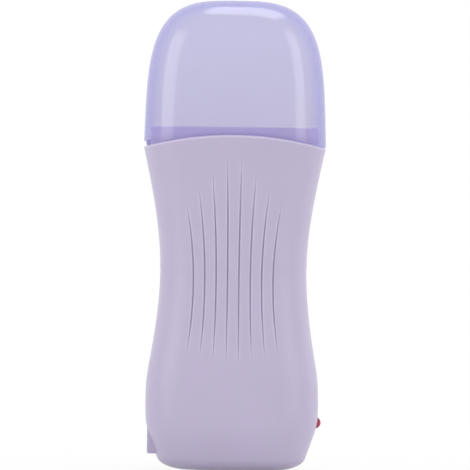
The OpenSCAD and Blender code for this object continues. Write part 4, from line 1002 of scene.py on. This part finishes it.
DRESSED = {
    "neck_ring": "pale_lilac_plastic",
    "chamber_sleeve": "ivory_plastic",
    "heating_plate": "aluminium",
    "ptc_stones": "heater_ceramic",
    "inner_electrode": "brass",
    "outer_electrode": "brass",
    "insulating_film": "film",
    "heater_clamp": "steel",
    "clamp_screws": "steel",
    "thermal_fuse": "fuse_case",
    "leaf_spring_left": "steel",
    "leaf_spring_right": "steel",
    "spring_rivets": "brass",
    "window_lens": "clear_window",
    "inlet_body": "black_plastic",
    "inlet_pins": "pin_metal",
    "pin_terminals": "brass",
    "led_lamp": "red_lamp",
    "led_holder": "ivory_plastic",
    "led_board": "board",
    "led_resistor": "part_case",
    "led_diode": "black_plastic",
    "live_wire": "live_insulation",
    "neutral_wire": "neutral_insulation",
    "led_wires": "lamp_insulation",
    "casing_screws": "steel",
}
for name, material in DRESSED.items():
    nodes[name].data.materials.clear()
    nodes[name].data.materials.append(made[material])

# ---- floor and light ----

WORLD_LIGHT = 0.465
# How far the floor is white to rays that show it: its least share, and the distances in metres
# from which and by which it becomes wholly white
FLOOR_WHITE, FLOOR_FADE = 0.92, (0.06, 0.25)
FLOOR_GREYS = ((0.79, 0.79, 0.79), (0.82, 0.82, 0.82))
FLOOR_ROUGH, FLOOR_SPECULAR = (0.7, 0.85), 0.2
FLOOR_PATCH_MM, FLOOR_ROUGH_MM = 120, 60
FLOOR_RINGS, FLOOR_COLUMNS, FLOOR_DROP = (40, 150, 400, 1000, 3000), 96, 0.02
# The share of a softbox's size over which it fades out at each edge
BOX_FADE = 0.2
HEATER_MIDDLE = Vector((0, 0, 110))
# Azimuth from the camera's side, distance, height, width and height of the lamp, radiance, and
# whether gloss mirrors it
SOFTBOXES = {
    "left_box": (-61.5, 950, 260, (640, 1600), 2.3, True),
    "right_box": (55, 870, 260, (400, 1600), 2.5, True),
    "rim_box": (122, 950, 260, (350, 1600), 2.4, False),
    "left_rim_box": (-122, 950, 260, (350, 1600), 1.2, False),
    "rear_fill": (180, 1500, 300, (900, 600), 1.4, False),
    "front_fill": (-4, 1500, 90, (900, 400), 2.6, False),
}
# The oval lamp overhead, turned a little about its own axis
TOP_AT, TOP_SIZE, TOP_RADIANCE, TOP_UP = (120, 60, 1100), (780, 700), 4.2, (0.30, 1, 0)


def seen_rays(tree):
    """1 for rays that show the background: the camera's, mirrored ones and ones through glass."""
    path = tree.nodes.new("ShaderNodeLightPath")
    value = path.outputs["Is Camera Ray"]
    for kind in ("Is Glossy Ray", "Is Transmission Ray"):
        value = combined(tree, "MAXIMUM", value, path.outputs[kind])
    return value


def white_world():
    world = bpy.data.worlds.new("studio")
    bpy.context.scene.world = world
    world.use_nodes = True
    tree = world.node_tree
    tree.nodes.clear()
    out = tree.nodes.new("ShaderNodeOutputWorld")
    lit, seen = (tree.nodes.new("ShaderNodeBackground") for _ in range(2))
    for sky, strength in ((lit, WORLD_LIGHT), (seen, 1.0)):
        sky.inputs["Color"].default_value = (*WHITE, 1)
        sky.inputs["Strength"].default_value = strength
    mix_shaders(tree, out, seen_rays(tree), lit, seen)


def make_floor():
    """A disc that fades to the white of the world behind it, and keeps the heater's shadow."""
    loops = [
        np.c_[circle(r, FLOOR_COLUMNS), np.full(FLOOR_COLUMNS, -FLOOR_DROP)] for r in FLOOR_RINGS
    ]
    faces = [tuple(range(FLOOR_COLUMNS))] + ring_faces(len(loops), FLOOR_COLUMNS)
    floor = mesh_object("floor", np.concatenate(loops), faces)
    mat, tree, shader, where = new_material("pale_floor")
    patches = noise(tree, where, FLOOR_PATCH_MM)
    tree.links.new(shades(tree, patches, *FLOOR_GREYS), shader.inputs["Base Color"])
    gloss = noise(tree, where, FLOOR_ROUGH_MM)
    tree.links.new(spread(tree, gloss, *FLOOR_ROUGH), shader.inputs["Roughness"])
    shader.inputs["Specular IOR Level"].default_value = FLOOR_SPECULAR
    far = tree.nodes.new("ShaderNodeVectorMath")
    far.operation = "LENGTH"
    tree.links.new(where, far.inputs[0])
    whiteness = spread(tree, far.outputs["Value"], FLOOR_WHITE, 1, *FLOOR_FADE)
    share = combined(tree, "MULTIPLY", seen_rays(tree), whiteness)
    white = tree.nodes.new("ShaderNodeEmission")
    mix_shaders(tree, node_of(tree, "OUTPUT_MATERIAL"), share, shader, white)
    floor.data.materials.append(mat)


def fade_edges(lamp):
    """Makes a lamp brightest in its middle, as the cloth of a softbox is."""
    lamp.use_nodes = True
    tree = lamp.node_tree
    spot = tree.nodes.new("ShaderNodeNewGeometry").outputs["Parametric"]
    parts = tree.nodes.new("ShaderNodeSeparateXYZ")
    tree.links.new(spot, parts.inputs[0])
    rises = []
    for k in (0, 1):
        wave = tree.nodes.new("ShaderNodeMath")
        wave.operation = "PINGPONG"
        wave.inputs[1].default_value = 0.5
        tree.links.new(parts.outputs[k], wave.inputs[0])
        rise = tree.nodes.new("ShaderNodeMapRange")
        rise.interpolation_type = "SMOOTHSTEP"
        rise.inputs["From Min"].default_value = 0
        rise.inputs["From Max"].default_value = BOX_FADE
        tree.links.new(wave.outputs[0], rise.inputs["Value"])
        rises.append(rise.outputs["Result"])
    strength = combined(tree, "MULTIPLY", *rises)
    tree.links.new(strength, node_of(tree, "EMISSION").inputs["Strength"])


def softbox(name, at, size, radiance, shape="RECTANGLE", up=(0, 0, 1), mirrored=True):
    """A lamp turned to the heater, size wide and high in millimetres, with its height along up."""
    lamp = bpy.data.lights.new(name, "AREA")
    lamp.shape = shape
    lamp.size, lamp.size_y = size[0] * MM, size[1] * MM
    area = lamp.size * lamp.size_y * (math.pi / 4 if shape == "ELLIPSE" else 1)
    lamp.energy = radiance * math.pi * area
    fade_edges(lamp)
    obj = bpy.data.objects.new(name, lamp)
    bpy.context.scene.collection.objects.link(obj)
    out = (Vector(at) - HEATER_MIDDLE).normalized()
    across = Vector(up).cross(out).normalized()
    axes = Matrix((across, out.cross(across), out)).transposed()
    obj.matrix_world = Matrix.Translation(Vector(at) * MM) @ axes.to_4x4()
    obj.visible_camera = False
    obj.visible_transmission = False
    obj.visible_glossy = mirrored


def around(azimuth, far, high):
    """A place far out at an azimuth in degrees from the camera's side, to the right if positive."""
    a = math.radians(azimuth)
    return (far * math.sin(a), -far * math.cos(a), high)


white_world()
make_floor()
for name, (azimuth, far, high, size, radiance, mirrored) in SOFTBOXES.items():
    softbox(name, around(azimuth, far, high), size, radiance, mirrored=mirrored)
softbox("top_box", TOP_AT, TOP_SIZE, TOP_RADIANCE, "ELLIPSE", TOP_UP)

bpy.context.scene.view_settings.view_transform = "Standard"
